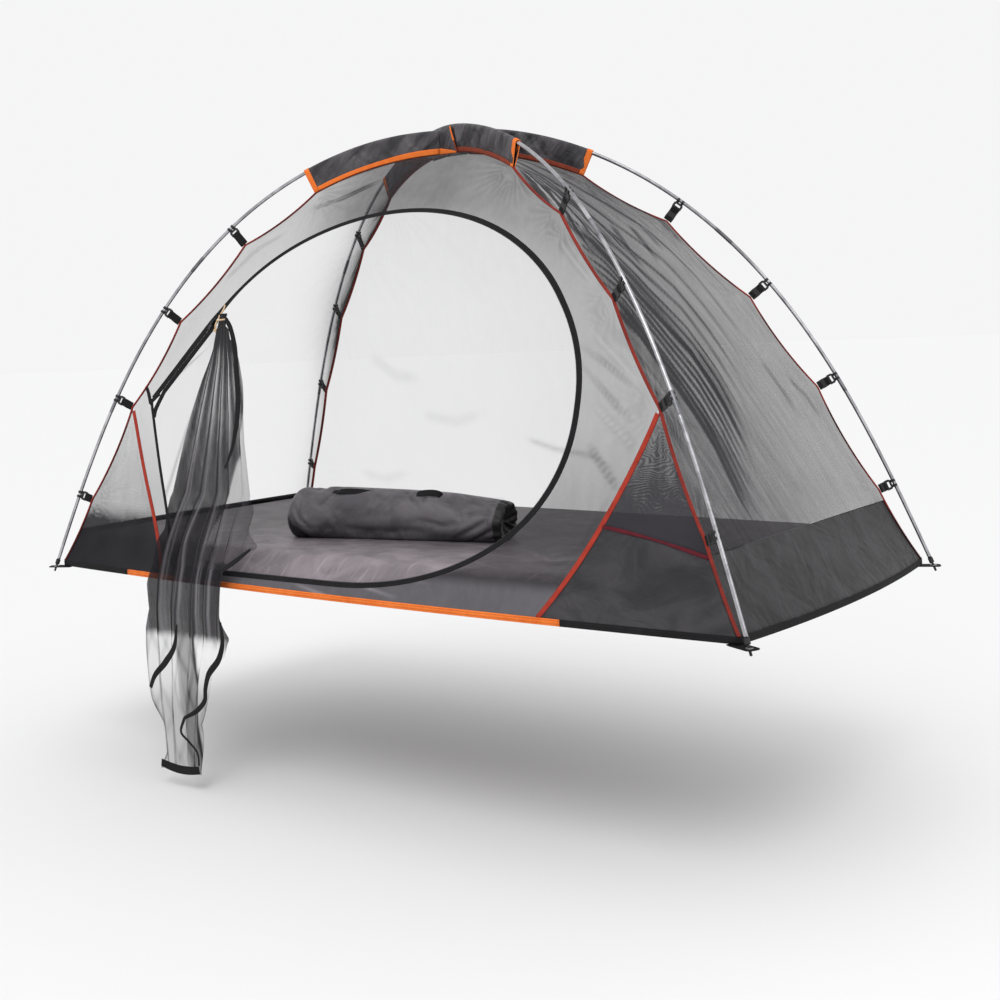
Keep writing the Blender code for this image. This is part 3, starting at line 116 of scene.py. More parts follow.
# Shader maths as plain sums
class Wire:
    def __init__(self, finish, socket):
        self.finish, self.socket = finish, socket

    def sum(self, operation, first, second):
        return self.finish.add("ShaderNodeMath", {"operation": operation}, {0: first, 1: second})

    def __add__(self, other):
        return self.sum("ADD", self, other)

    def __sub__(self, other):
        return self.sum("SUBTRACT", self, other)

    def __rsub__(self, other):
        return self.sum("SUBTRACT", other, self)

    def __mul__(self, other):
        return self.sum("MULTIPLY", self, other)

    def wave(self):
        return self.sum("SINE", self, 0.0)

    def least(self, other):
        return self.sum("MINIMUM", self, other)

    def most(self, other):
        return self.sum("MAXIMUM", self, other)

    __radd__, __rmul__ = __add__, __mul__


class Finish:
    # one material: its shader's sockets are set by name, any other node comes from add
    def __init__(self, name, roughness=0.6, metallic=0.0):
        self.material = bpy.data.materials.new(name)
        self.material.use_nodes = True
        self.tree = self.material.node_tree
        self.shader = self.tree.nodes["Principled BSDF"]
        self.set("Roughness", roughness)
        self.set("Metallic", metallic)

    def add(self, kind, settings=None, inputs=None, output=0):
        node = self.tree.nodes.new(kind)
        for key, value in (settings or {}).items():
            setattr(node, key, value)
        for key, value in (inputs or {}).items():
            self.plug(node.inputs[key], value)
        return Wire(self, node.outputs[output])

    def plug(self, socket, value):
        if isinstance(value, Wire):
            self.tree.links.new(value.socket, socket)
        else:
            socket.default_value = value

    def set(self, key, value):
        self.plug(self.shader.inputs[key], value)

    def place(self, source="Object"):
        return self.add("ShaderNodeTexCoord", output={"Object": 3, "UV": 2}[source])

    def point(self, label):
        # a value that the mesh carries at its points
        return self.add("ShaderNodeAttribute", {"attribute_name": label}, output=2)

    def split(self, vector):
        node = self.add("ShaderNodeSeparateXYZ", None, {0: vector}).socket.node
        return [Wire(self, node.outputs[k]) for k in range(3)]

    def stretch(self, vector, scale, turn=(0.0, 0.0, 0.0)):
        return self.add("ShaderNodeMapping", None, {"Vector": vector, "Scale": scale, "Rotation": turn})

    def noise(self, vector, scale, detail=3.0, roughness=0.55, distortion=0.0):
        return self.add("ShaderNodeTexNoise", None, {
            "Vector": vector, "Scale": scale, "Detail": detail, "Roughness": roughness, "Distortion": distortion})

    def blend(self, share, first, second):
        pair = [(*c, 1.0) if isinstance(c, tuple) else c for c in (first, second)]
        return self.add("ShaderNodeMix", {"data_type": "RGBA"}, {0: share, 6: pair[0], 7: pair[1]}, 2)

    def limit(self, value, low, high):
        return self.add("ShaderNodeMapRange", {"interpolation_type": "SMOOTHSTEP"}, {0: value, 1: low, 2: high})

    def bump(self, height, strength, distance):
        self.set("Normal", self.add("ShaderNodeBump", None, {
            "Height": height, "Strength": strength, "Distance": distance}))


def tone(colour, times=1.0):
    # a colour as it reads on screen, made linear, then lighter by times
    shares = [value / 255.0 for value in colour]
    return tuple((c / 12.92 if c <= 0.04045 else ((c + 0.055) / 1.055) ** 2.4) * times for c in shares)


def threads(finish, uv, perMetre):
    # over and under of a plain weave, 0 to 1
    across, along, _ = finish.split(uv)
    turn = 2 * math.pi * perMetre
    return (across * turn).wave() * (along * turn).wave() * 0.5 + 0.5


netLook = {
    "meshPerMetre": 620,
    "meshShare": 0.20,
    "cloudScale": 3.5,
    "cloudShare": 0.28,
    "fineScale": 900.0,
    "fineShare": 0.4,
    "streaks": (5.0, 5.0, 0.8),
    "streakShare": 0.16,
    # light grey of the painted highlights on the net's fold crests
    "crestHighlightTone": (150, 146, 152),
    "leastSeen": 0.02,
    "mostSeen": 0.97,
    "gloss": 0.08,
}


def netFinish(name, alpha, dark, light, streaks=None, turn=0.0, strength=None, ripple=0.0):
    # fine mosquito net: see-through, denser where it gathers, streaked along its folds, with painted highlights on fold
    # crests and painted sheen where the mesh's mark says so
    finish = Finish(name, 0.75)
    spot = finish.place("Object")
    dense, paintedLightAndTone = finish.point("dense"), finish.point("paintedLightAndTone")
    cloud = finish.noise(spot, netLook["cloudScale"], 3.0)
    fine = finish.noise(spot, netLook["fineScale"], 2.0, 0.7)
    turned = finish.stretch(spot, (1.0, 1.0, 1.0), (turn, 0.0, 0.0)) if turn else spot
    streak = finish.noise(finish.stretch(turned, streaks or netLook["streaks"]), 9.0, 5.0, 0.65, 0.4)
    holes = threads(finish, finish.place("UV"), netLook["meshPerMetre"])
    share = dense * alpha
    for pattern, depth in ((cloud, netLook["cloudShare"]), (holes, netLook["meshShare"]), (fine, netLook["fineShare"]),
                           (streak, (strength or netLook["streakShare"]) * 2)):
        share = share * ((pattern - 0.5) * depth + 1.0)
    if ripple:  # two layers of mesh cross into moving rings
        rings = (finish.noise(spot, 9.0, 2.0, 0.5, 0.6) * 170.0 + finish.split(spot)[2] * 900.0).wave()
        share = share * (rings * ripple + 1.0)
    plain = finish.blend(finish.limit(cloud, 0.3, 0.7), tone(dark), tone(light))
    # painted highlights: lighter grey on fold crests, and painted sheen on the opaque strip below the zip
    finish.set("Base Color", finish.blend(paintedLightAndTone * (streak * 0.6 + 0.7), plain, tone(netLook["crestHighlightTone"])))
    finish.set("Alpha", share.least(netLook["mostSeen"]).most(netLook["leastSeen"]))
    finish.set("Roughness", (fine - 0.5) * 0.2 + 0.62)
    finish.set("Specular IOR Level", netLook["gloss"])
    finish.bump(holes, 0.15, 0.0004)
    return finish.material


clothLook = {"weavePerMetre": 900, "creaseScale": 9.0, "farLight": 1.6, "lineLight": 2.1, "lineShare": 0.55}


def clothFinish(name, dark, light, creases, roughness=0.42, sheen=0.4, far=None, slant=None):
    # tightly woven coated polyester with soft creases
    finish = Finish(name)
    spot = finish.place("Object")
    weave = threads(finish, finish.place("UV"), clothLook["weavePerMetre"])
    if slant:  # creases that run one way, leaning from upright
        turned = finish.stretch(spot, (1.0, 1.0, 1.0), (0.0, -slant, 0.0))
        broad = finish.noise(finish.stretch(turned, (4.4, 1.2, 0.9)), clothLook["creaseScale"], 3.0, 0.5, 0.5)
    else:
        broad = finish.noise(finish.stretch(spot, (1.0, 1.6, 1.3)), clothLook["creaseScale"], 5.0, 0.6, 0.7)
    fine = finish.noise(finish.stretch(spot, (1.0, 2.2, 1.0)), 46.0, 4.0, 0.6, 0.5)
    folds = (finish.noise(spot, 6.0, 2.0, 0.5, 1.5) * 26.0).wave() * 0.5 + 0.5
    # the broad creases also shape the bump: lighter on their crests and darker in their hollows, painted highlights and
    # painted shade
    shade = finish.limit(broad, 0.34, 0.68)
    colour = finish.blend(shade, tone(dark), tone(light))
    if far:  # where the mesh's mark says so, a second tone: painted sheen on the floor's door side, and the bag's own black cloth with painted shade under it and in its creases; thin lighter lines over it
        other = finish.point("paintedLightAndTone")
        colour = finish.blend(other, colour, finish.blend(shade, tone(far), tone(far, clothLook["farLight"])))
        turned = finish.stretch(spot, (1.0, 1.0, 1.0), (0.0, 0.0, 0.45))
        thin = finish.noise(finish.stretch(turned, (9.0, 1.3, 1.0)), 9.0, 3.0, 0.55, 0.8)
        lines = finish.limit(thin, 0.56, 0.70) * other * clothLook["lineShare"]
        colour = finish.blend(lines, colour, tone(far, clothLook["lineLight"]))
    finish.set("Base Color", colour)
    finish.set("Roughness", roughness + (fine - 0.5) * 0.22 + (weave - 0.5) * 0.06)
    finish.set("Specular IOR Level", sheen)
    finish.bump((broad * 6.0 + folds + fine * 1.1) * creases + weave * 0.08, 0.55, 0.003)
    return finish.material


tapeLook = {"widthRibs": 0.8, "wornScale": 60.0, "cloudScale": 12.0, "roughness": 0.7, "gloss": 0.12}


def tapeFinish(name, dark, light, ribs=420.0, other=None):
    # woven binding, webbing or thread: fine ribs, a worn crown, a little fluff
    finish = Finish(name)
    spot = finish.place("Object")
    along, side, _ = finish.split(finish.place("UV"))
    rib, cross = [(way * (2 * math.pi * ribs * share)).wave() * 0.5 + 0.5
                  for way, share in ((along, 1.0), (side, tapeLook["widthRibs"]))]
    worn = finish.noise(spot, tapeLook["wornScale"], 4.0, 0.6)
    cloud = finish.noise(spot, tapeLook["cloudScale"], 3.0)
    share = finish.limit(rib * 0.35 + cross * 0.2 + worn * 0.5 + cloud * 0.4, 0.35, 1.05)
    colour = finish.blend(share, tone(dark), tone(light))
    if other:  # a darker colour, where the mesh's mark says so
        colour = finish.blend(finish.point("paintedLightAndTone"), colour, tone(other))
    finish.set("Base Color", colour)
    finish.set("Roughness", (worn - 0.5) * 0.2 + tapeLook["roughness"])
    finish.set("Specular IOR Level", tapeLook["gloss"])
    finish.bump(rib * 0.7 + cross * 0.3 + worn * 0.4, 0.5, 0.0005)
    return finish.material


def metalFinish(name, dark, light, roughness):
    # drawn tube: bright, with fine lines on it and a few smears
    finish = Finish(name, roughness, 1.0)
    spot = finish.place("Object")
    lines = finish.noise(finish.stretch(spot, (60.0, 60.0, 60.0)), 1.0, 3.0, 0.6)
    smear = finish.noise(spot, 14.0, 3.0, 0.6, 0.6)
    finish.set("Base Color", finish.blend(finish.limit(lines * 0.3 + smear * 0.7, 0.3, 0.7), tone(dark), tone(light)))
    finish.set("Roughness", (smear - 0.5) * 0.2 + roughness)
    finish.bump(lines, 0.05, 0.0002)
    return finish.material


def plasticFinish(name, dark, light, roughness):
    # moulded plastic: fine grain, scuffed a little on its high spots
    finish = Finish(name, roughness)
    spot = finish.place("Object")
    grain = finish.noise(spot, 1500.0, 3.0, 0.7)
    cloud = finish.noise(spot, 120.0, 3.0)
    scuff = finish.limit(finish.noise(finish.stretch(spot, (1.0, 1.0, 3.0)), 260.0, 5.0, 0.7), 0.58, 0.74)
    finish.set("Base Color", finish.blend(cloud * 0.5 + scuff * 0.5, tone(dark), tone(light)))
    finish.set("Roughness", (grain - 0.5) * 0.2 + roughness + scuff * 0.12)
    finish.set("Specular IOR Level", 0.35)
    finish.bump(grain + scuff * 0.5, 0.2, 0.0003)
    return finish.material


def cordFinish(name, dark, light):
    # braided cord, by the tube's own map: strands cross in both ways
    finish = Finish(name, 0.8)
    along, round_, _ = finish.split(finish.place("UV"))
    one, two = [(along * 1500.0 + round_ * turn).wave() for turn in (12.566, -12.566)]
    plait = one.most(two) * 0.5 + 0.5
    fluff = finish.noise(finish.place("Object"), 700.0, 3.0, 0.7)
    finish.set("Base Color", finish.blend(plait * 0.7 + fluff * 0.3, tone(dark), tone(light)))
    finish.set("Roughness", (fluff - 0.5) * 0.2 + 0.75)
    finish.bump(plait + fluff * 0.4, 0.6, 0.0008)
    return finish.material


# colours are as they read on screen, dark and light of each finish
finishes = {
    netFinish: {
        "backNet": (0.18, (30, 29, 32), (44, 43, 46)),
        "leftNet": (0.10, (30, 29, 32), (44, 43, 46)),
        "frontNet": (0.42, (34, 33, 36), (52, 50, 54), None, 0.0, 0.12),
        "sideNet": (0.60, (36, 35, 38), (54, 52, 56), (1.0, 6.5, 0.35), -0.26, 0.26),
        "gussetNet": (0.50, (30, 29, 33), (46, 45, 49), None, 0.0, None, 0.05),
        "gussetNetRight": (0.80, (36, 35, 39), (54, 52, 57), None, 0.0, None, 0.07),
        "webNet": (0.10, (26, 26, 29), (40, 39, 43)),
        "drapeNet": (0.92, (22, 21, 24), (40, 39, 43), (6.0, 6.0, 0.5)),
    },
    clothFinish: {
        "baseCloth": ((26, 25, 28), (52, 50, 54), 0.7),
        # a darker copy of the base cloth for the right end's band: painted shade
        "bandCloth": ((15, 14, 16), (40, 38, 41), 0.8, 0.45),
        # floorCloth's last colour is a lighter tone for the door side: painted sheen
        "floorCloth": ((66, 62, 65), (88, 83, 86), 0.5, 0.5, 0.4, (120, 112, 117)),
        "sleeveCloth": ((34, 32, 35), (82, 78, 83), 1.1, 0.42, 0.45, None, 0.7),
        # bagCloth's last colour: its own black cloth, also used for painted shade
        "bagCloth": ((74, 71, 76), (100, 96, 101), 0.4, 0.42, 0.4, (14, 14, 15)),
    },
    tapeFinish: {
        "brickTape": ((120, 34, 28), (186, 66, 50)),
        "ridgeTape": ((98, 30, 28), (158, 58, 48), 420.0, (44, 26, 26)),
        "panelTape": ((66, 22, 30), (104, 34, 44)),
        # the orange and brick binding drawn darker brown where it lies in shade: painted shade
        "brownTape": ((104, 44, 34), (150, 72, 52)),
        "orangeTape": ((214, 92, 28), (250, 140, 66)),
        "blackTape": ((14, 14, 15), (36, 35, 37)),
        "webbing": ((13, 13, 14), (34, 33, 35), 300.0),
        "brickThread": ((150, 52, 40), (196, 90, 66), 900.0),
        "blackThread": ((30, 30, 32), (66, 65, 68), 900.0),
        "orangeThread": ((236, 120, 52), (255, 168, 98), 900.0),
    },
    metalFinish: {
        "poleMetal": ((138, 138, 142), (196, 196, 200), 0.24),
        "ferrule": ((96, 96, 100), (150, 150, 155), 0.36),
        "steel": ((140, 140, 144), (204, 204, 208), 0.28),
        "zipMetal": ((26, 26, 28), (88, 88, 92), 0.38),
    },
    plasticFinish: {
        "blackPlastic": ((26, 26, 28), (58, 58, 60), 0.42),
        "coilNylon": ((24, 24, 26), (52, 52, 55), 0.36),
    },
    cordFinish: {"beigeCord": ((176, 138, 100), (236, 206, 168))},
}
looks = {name: maker(name, *row) for maker, rows in finishes.items() for name, row in rows.items()}
print("finishes ready", len(looks))
makeStudio()
print("studio ready")


# How pieces are put on the model
def addPiece(name, mesh, look, body="tent", nodes=(), slot=None):
    piece = bpy.data.objects.new(name, mesh)
    bpy.context.scene.collection.objects.link(piece)
    piece.data.materials.clear()
    piece.data.materials.append(looks[look])
    made[name] = (piece, body, nodes, slot)
    return piece


def pinPieces():
    for piece, body, nodes, slot in made.values():
        if nodes:
            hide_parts(*nodes)
        if piece not in [row[0] for row in blended]:
            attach(piece, body)
    for piece, first, second, start, end in blended:
        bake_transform(piece)


def thicken(piece, thickness, offset=-1.0):
    shell = piece.modifiers.new("cloth", "SOLIDIFY")
    shell.thickness = thickness
    shell.offset = offset
    return piece


def addCloth(name, mesh, look, nodes, slot, thickness, offset=-1.0):
    return thicken(addPiece(name, mesh, look, "tent", nodes, slot), thickness, offset)


def lengthsOf(path):
    # how far along each point of a path is
    steps = np.linalg.norm(np.diff(np.asarray(path, float), axis=0), axis=1)
    return np.concatenate([[0.0], np.cumsum(steps)])


def onto(spans, points, at):
    # points at other lengths along a path, on straight runs
    points = np.asarray(points, float)
    return np.stack([np.interp(at, spans, points[:, k]) for k in range(points.shape[1])], axis=-1)


def quadsOf(index, flip):
    quads = np.stack([index[:-1, :-1], index[:-1, 1:], index[1:, 1:], index[1:, :-1]], axis=-1).reshape(-1, 4)
    return quads[:, ::-1] if flip else quads


def gridMesh(name, grid, closed=False, dense=None, uv=None, flip=False, paintedLightAndTone=None):
    # a smooth sheet through rows of points, with a map in metres
    grid = np.asarray(grid, float)
    rows, columns, _ = grid.shape
    index = np.arange(rows * columns).reshape(rows, columns)
    if closed:
        index = np.hstack([index, index[:, :1]])
    mesh = bpy.data.meshes.new(name)
    mesh.from_pydata(grid.reshape(-1, 3).tolist(), [], quadsOf(index, flip).tolist())
    if uv is None:
        wide = np.hstack([grid, grid[:, :1]]) if closed else grid
        across = np.cumsum(np.linalg.norm(np.diff(wide, axis=1), axis=2), axis=1)
        across = np.hstack([np.zeros((rows, 1)), across])
        down = np.cumsum(np.linalg.norm(np.diff(wide, axis=0), axis=2), axis=0)
        down = np.vstack([np.zeros((1, wide.shape[1])), down])
        middle = across[:, across.shape[1] // 2][:, None]
        uv = np.stack([across - middle, down], axis=-1)
    uv = np.asarray(uv, float)
    corner = np.arange(uv.shape[0] * uv.shape[1]).reshape(uv.shape[:2])
    layer = mesh.uv_layers.new(name="cloth")
    layer.data.foreach_set("uv", uv.reshape(-1, 2)[quadsOf(corner, flip).ravel()].astype(np.float32).ravel())
    # dense says how much net there is; the other mark carries painted highlights, sheen and shade, and the bag's own
    # black cloth
    for label, values in (("dense", dense), ("paintedLightAndTone", paintedLightAndTone)):
        if values is not None:
            slot = mesh.attributes.new(label, "FLOAT", "POINT")
            slot.data.foreach_set("value", np.asarray(values, np.float32).ravel())
    mesh.shade_smooth()
    mesh.validate()
    return mesh


def remade(mesh, change, outward=True):
    # one change to a mesh, after which its faces point outwards
    bm = bmesh.new()
    bm.from_mesh(mesh)
    bm.verts.ensure_lookup_table()
    change(bm)
    if outward:
        bmesh.ops.recalc_face_normals(bm, faces=bm.faces)
    bm.to_mesh(mesh)
    bm.free()
    return mesh


def capped(mesh, sides, last):
    # closes the first ring of a tube, and the one that starts at point last
    def close(bm):
        bm.faces.new([bm.verts[i] for i in range(sides)])
        bm.faces.new([bm.verts[last + i] for i in reversed(range(sides))])
    return remade(mesh, close)


def welded(mesh, near=0.00001):
    return remade(mesh, lambda bm: bmesh.ops.remove_doubles(bm, verts=bm.verts, dist=near))


def turnedTo(mesh, way):
    # faces look towards way, on the whole
    if sum(poly.normal.dot(way) * poly.area for poly in mesh.polygons) < 0:
        mesh.flip_normals()
    return mesh


def softOval(count, wide, deep):
    # cosines and sines of a rounded rectangle's outline
    turns = np.linspace(0.0, 2 * math.pi, count, endpoint=False)
    pairs = [(math.cos(turn), math.sin(turn)) for turn in turns]
    return [(math.copysign(abs(c) ** wide, c), math.copysign(abs(s) ** deep, s)) for c, s in pairs]


def loopedMesh(name, rings, paintedLightAndTone=None):
    # a closed tube through rings of points
    rings = np.asarray(rings, float)
    mesh = gridMesh(name, rings, closed=True, paintedLightAndTone=paintedLightAndTone)
    return capped(mesh, rings.shape[1], (rings.shape[0] - 1) * rings.shape[1])


def tubeMesh(name, points, radius, sides=12, loop=False):
    # a round tube along a path, its map in metres along and in turns round
    points = np.asarray(points, float)
    count = len(points)
    radii = np.broadcast_to(radius, (count,))
    turns = 2 * math.pi * np.arange(sides) / sides
    rings, across = [], None
    for i in range(count):
        ahead = points[(i + 1) % count] if loop else points[min(i + 1, count - 1)]
        behind = points[i - 1] if loop or i else points[0]
        run = ahead - behind
        run = run / np.linalg.norm(run)
        if across is None:
            across = np.cross(run, (0.0, 0.0, 1.0) if abs(run[2]) < 0.9 else (1.0, 0.0, 0.0))
        across = across - run * (across @ run)
        across = across / np.linalg.norm(across)
        other = np.cross(run, across)
        rings.append(points[i] + radii[i] * (np.cos(turns)[:, None] * across + np.sin(turns)[:, None] * other))
    if loop:
        rings.append(rings[0])
    spans = lengthsOf([ring[0] for ring in rings])
    uv = [[(span, k / sides) for k in range(sides + 1)] for span in spans]
    mesh = gridMesh(name, rings, closed=True, uv=uv)
    return welded(mesh, 0.000001) if loop else capped(mesh, sides, (count - 1) * sides)


# A row of small rounded beads along a path: stitches and zip teeth
def makeRowTree():
    # a bead at each even step of a line, turned along it, made real and painted
    tree = bpy.data.node_groups.new("rowOfBeads", "GeometryNodeTree")
    for name, kind in (("Geometry", "Geometry"), ("Spacing", "Float"), ("Size", "Vector"), ("Wobble", "Float"),
                       ("Seed", "Int"), ("Finish", "Material")):
        tree.interface.new_socket(name=name, in_out="INPUT", socket_type="NodeSocket" + kind)
    tree.interface.new_socket(name="Geometry", in_out="OUTPUT", socket_type="NodeSocketGeometry")

    def add(kind, output, inputs=None, **settings):
        # a node with its settings and what feeds it; gives back one of its outputs
        node = tree.nodes.new(kind)
        for key, value in settings.items():
            setattr(node, key, value)
        for key, value in (inputs or {}).items():
            if isinstance(value, bpy.types.NodeSocket):
                tree.links.new(value, node.inputs[key])
            else:
                node.inputs[key].default_value = value
        return node.outputs if output is None else node.outputs[output]

    given = add("NodeGroupInput", None)
    line = add("GeometryNodeMeshToCurve", "Curve", {"Mesh": given["Geometry"]})
    even = add("GeometryNodeResampleCurve", "Curve", {"Curve": line, "Length": given["Spacing"]}, mode="LENGTH")
    bead = add("GeometryNodeMeshUVSphere", "Mesh", {"Segments": 6, "Rings": 4, "Radius": 0.5})
    shape = add("GeometryNodeTransform", "Geometry", {"Geometry": bead, "Scale": given["Size"]})
    up = add("GeometryNodeInputNamedAttribute", "Attribute", {"Name": "up"}, data_type="FLOAT_VECTOR")
    tangent = add("GeometryNodeInputTangent", 0)
    along = add("FunctionNodeAlignRotationToVector", 0, {"Vector": tangent}, axis="X")
    stand = add("FunctionNodeAlignRotationToVector", 0, {"Rotation": along, "Vector": up}, axis="Z", pivot_axis="X")
    least = add("ShaderNodeMath", 0, {0: 1.0, 1: given["Wobble"]}, operation="SUBTRACT")
    size = add("FunctionNodeRandomValue", 1, {2: least, 3: 1.0, "Seed": given["Seed"]}, data_type="FLOAT")
    put = add("GeometryNodeInstanceOnPoints", "Instances",
              {"Points": even, "Instance": shape, "Rotation": stand, "Scale": size})
    real = add("GeometryNodeRealizeInstances", "Geometry", {"Geometry": put})
    smooth = add("GeometryNodeSetShadeSmooth", "Geometry", {"Geometry": real})
    paint = add("GeometryNodeSetMaterial", "Geometry", {"Geometry": smooth, "Material": given["Finish"]})
    add("NodeGroupOutput", None, {"Geometry": paint})
    return tree


rowTree = makeRowTree()
stitchSize = (0.0026, 0.0006, 0.0005)


def makeRow(name, paths, spacing, size, look, body="tent", wobble=0.1, seed=3, slot=None):
    # paths are lists of (point, way up)
    points, ups, edges = [], [], []
    for path in paths:
        first = len(points)
        for point, way in path:
            points.append(tuple(float(c) for c in point))
            ups.append(tuple(float(c) for c in way))
        edges += [(first + i, first + i + 1) for i in range(len(path) - 1)]
    mesh = bpy.data.meshes.new(name + "Line")
    mesh.from_pydata(points, edges, [])
    attribute = mesh.attributes.new("up", "FLOAT_VECTOR", "POINT")
    attribute.data.foreach_set("vector", np.array(ups, np.float32).ravel())
    holder = bpy.data.objects.new(name + "Line", mesh)
    bpy.context.scene.collection.objects.link(holder)
    modifier = holder.modifiers.new("row", "NODES")
    modifier.node_group = rowTree
    values = {"Spacing": spacing, "Size": size, "Wobble": wobble, "Seed": seed, "Finish": looks[look]}
    for item in rowTree.interface.items_tree:
        if item.in_out == "INPUT" and item.name in values:
            modifier[item.identifier] = values[item.name]
    bpy.context.view_layer.update()
    solid = holder.evaluated_get(bpy.context.evaluated_depsgraph_get())
    result = bpy.data.meshes.new_from_object(solid)
    result.name = name
    bpy.data.objects.remove(holder, do_unlink=True)
    return addPiece(name, result, look, body, (), slot)


# The arch of the poles
pole = {
    "diameter": 0.0085,
    "halfSpan": 1.076,
    "rise": 1.016,
    "endHeight": -0.068,
    "planSlope": 0.45,
    "crossingReach": 0.12,
    "gap": 0.0003,
    "sides": 20,
    "stations": 200,
    "joints": (0.30, 0.72, 1.14),  # where sections meet, from the peak
    "ferruleHalf": 0.028,
    "ferruleRaise": 0.00025,
    "ferruleEase": 0.0002,
}
armSigns = {"front_left": (-1, -1), "back_right": (1, 1), "front_right": (1, -1), "back_left": (-1, 1)}
upperArms = ("front_right", "back_left")


def runningSum(values, step):
    return np.concatenate([[0.0], np.cumsum((values[1:] + values[:-1]) * step / 2)])


def solveArch(halfSpan, rise):
    # a springy pole bowed between two pinned ends
    angle = np.linspace(0.0, math.pi / 2, 2001)
    low, high = 0.05, 0.85
    for _ in range(60):
        k = (low + high) / 2
        root = np.sqrt(1 - (k * np.sin(angle)) ** 2)
        first = runningSum(1 / root, angle[1])
        second = runningSum(root, angle[1])
        if 2 * k / (2 * second[-1] - first[-1]) < rise / halfSpan:
            low = k
        else:
            high = k
    scale = rise / (2 * k)
    lean = 2 * np.arcsin(k * np.sin(angle))
    return first * scale, (2 * second - first) * scale, rise * np.cos(angle), lean


archArc, archOut, archUp, archLean = solveArch(pole["halfSpan"], pole["rise"])
halfLength = float(archArc[-1])
planX = 1 / math.hypot(1, pole["planSlope"])
planY = pole["planSlope"] * planX


def poleAt(arc):
    out = float(np.interp(arc, archArc, archOut))
    up = float(np.interp(arc, archArc, archUp)) + pole["endHeight"]
    return out, up, float(np.interp(arc, archArc, archLean))


def placeOn(arm, out, up):
    return np.array((armSigns[arm][0] * planX * out, armSigns[arm][1] * planY * out, up))


def acrossArm(arm):
    return np.array((-armSigns[arm][1] * planY, armSigns[arm][0] * planX, 0.0))


def awayFrom(arm, slope):
    # out of the tent, square to a line of this slope
    return placeOn(arm, math.sin(slope), math.cos(slope))


def polePoint(arm, arc):
    out, up, _ = poleAt(arc)
    side = 1 if arm in upperArms else -1
    lift = side * (pole["diameter"] + pole["gap"]) / 2 * math.exp(-((arc / pole["crossingReach"]) ** 2))
    return placeOn(arm, out, up + lift)


def armFrame(arm, arc):
    # x down along the pole, z away from the tent
    lean = poleAt(arc)[2]
    along, outward = placeOn(arm, math.cos(lean), -math.sin(lean)), awayFrom(arm, lean)
    matrix = Matrix((along, np.cross(outward, along), outward)).transposed().to_4x4()
    matrix.translation = polePoint(arm, arc)
    return matrix


def makePoles():
    thin, thick = pole["diameter"] / 2 - pole["ferruleEase"], pole["diameter"] / 2 + pole["ferruleRaise"]
    for name, first, second in (("pole_lower", "front_left", "back_right"), ("pole_upper", "front_right", "back_left")):
        arcs = np.linspace(0.0, halfLength, pole["stations"])
        points = [polePoint(first, arc) for arc in arcs[::-1]] + [polePoint(second, arc) for arc in arcs[1:]]
        mesh = tubeMesh(name + "_tube", points, pole["diameter"] / 2, pole["sides"])
        addPiece(name + "_tube", mesh, "poleMetal", "tent", (name,), "pole")
        for arm in (first, second):
            for number, arc in enumerate(pole["joints"], start=1):
                steps = np.linspace(-pole["ferruleHalf"], pole["ferruleHalf"], 9)
                label = f"ferrule_{arm}_{number}"
                near = [polePoint(arm, arc + step) for step in steps]
                mesh = tubeMesh(label, near, [thin] + [thick] * 7 + [thin], pole["sides"])
                addPiece(label, mesh, "ferrule", "tent", (), "pole")


makePoles()
print("poles ready")


# Ridges, where the walls meet under the poles
clipArcs = (0.595, 0.865, 1.125, 1.395)
clipDrops = (0.055, 0.053, 0.048, 0.037)
ridge = {
    "peakArc": 0.062,
    "sleeveReach": 0.36,
    "sleeveDrop": 0.055,
    "scallop": 0.008,
    "cornerOut": 1.058,
    "tapeShown": 0.0074,
    "tapeLift": 0.0023,  # its foot stands on the hem
    "clipGrip": 0.05,  # near a clip the tape keeps its brick colour
    # how much darker each arm's tape is drawn between the clips
    "turned": {"front_left": 0.55, "front_right": 0.25, "back_left": 0.5, "back_right": 0.95},
    "tapeDepth": 0.004,
    "steps": 150,
}
hem = {"top": -0.072, "height": 0.012, "width": 0.005, "lap": 0.0016, "steps": 90}
wallShape = {"sideBow": 0.035, "endBow": 0.030, "bowTop": 0.12, "cloth": 0.0012, "seamGap": 0.0006,
             "edgeIn": 0.0015}
wallFoot = hem["top"] + 0.0007


def belowPole(arc, drop):
    out, up, lean = poleAt(arc)
    return out - drop * math.sin(lean), up - drop * math.cos(lean)


anchors = [(ridge["sleeveReach"], belowPole(ridge["sleeveReach"], ridge["sleeveDrop"]))]
anchors += [(arc, belowPole(arc, drop)) for arc, drop in zip(clipArcs, clipDrops)]
anchors += [(halfLength, (ridge["cornerOut"], hem["top"]))]


def ridgeAt(arc):
    # how far out and up a ridge is, drawn in between its clips
    if arc <= ridge["sleeveReach"]:
        return belowPole(arc, ridge["sleeveDrop"])
    for (arcA, (outA, upA)), (arcB, (outB, upB)) in zip(anchors, anchors[1:]):
        if arc <= arcB:
            break
    share = min((arc - arcA) / (arcB - arcA), 1.0)
    far, rise = outB - outA, upB - upA
    pull = ridge["scallop"] * 4 * share * (1 - share) / (2 if arcB == halfLength else 1) / math.hypot(far, rise)
    return outA + share * far + pull * rise, upA + share * rise - pull * far


fineArcs = np.linspace(0.0, halfLength, 321)
fineOut = np.array([ridgeAt(arc)[0] for arc in fineArcs])[::-1]
fineUp = np.array([ridgeAt(arc)[1] for arc in fineArcs])[::-1]
smoothFit = np.polynomial.Polynomial.fit(fineOut, fineUp, 6)
smoothUp = np.sort(smoothFit(fineOut))
sleeveFoot = anchors[0][1][1]


def ridgeOut(height):
    return np.interp(height, fineUp, fineOut)


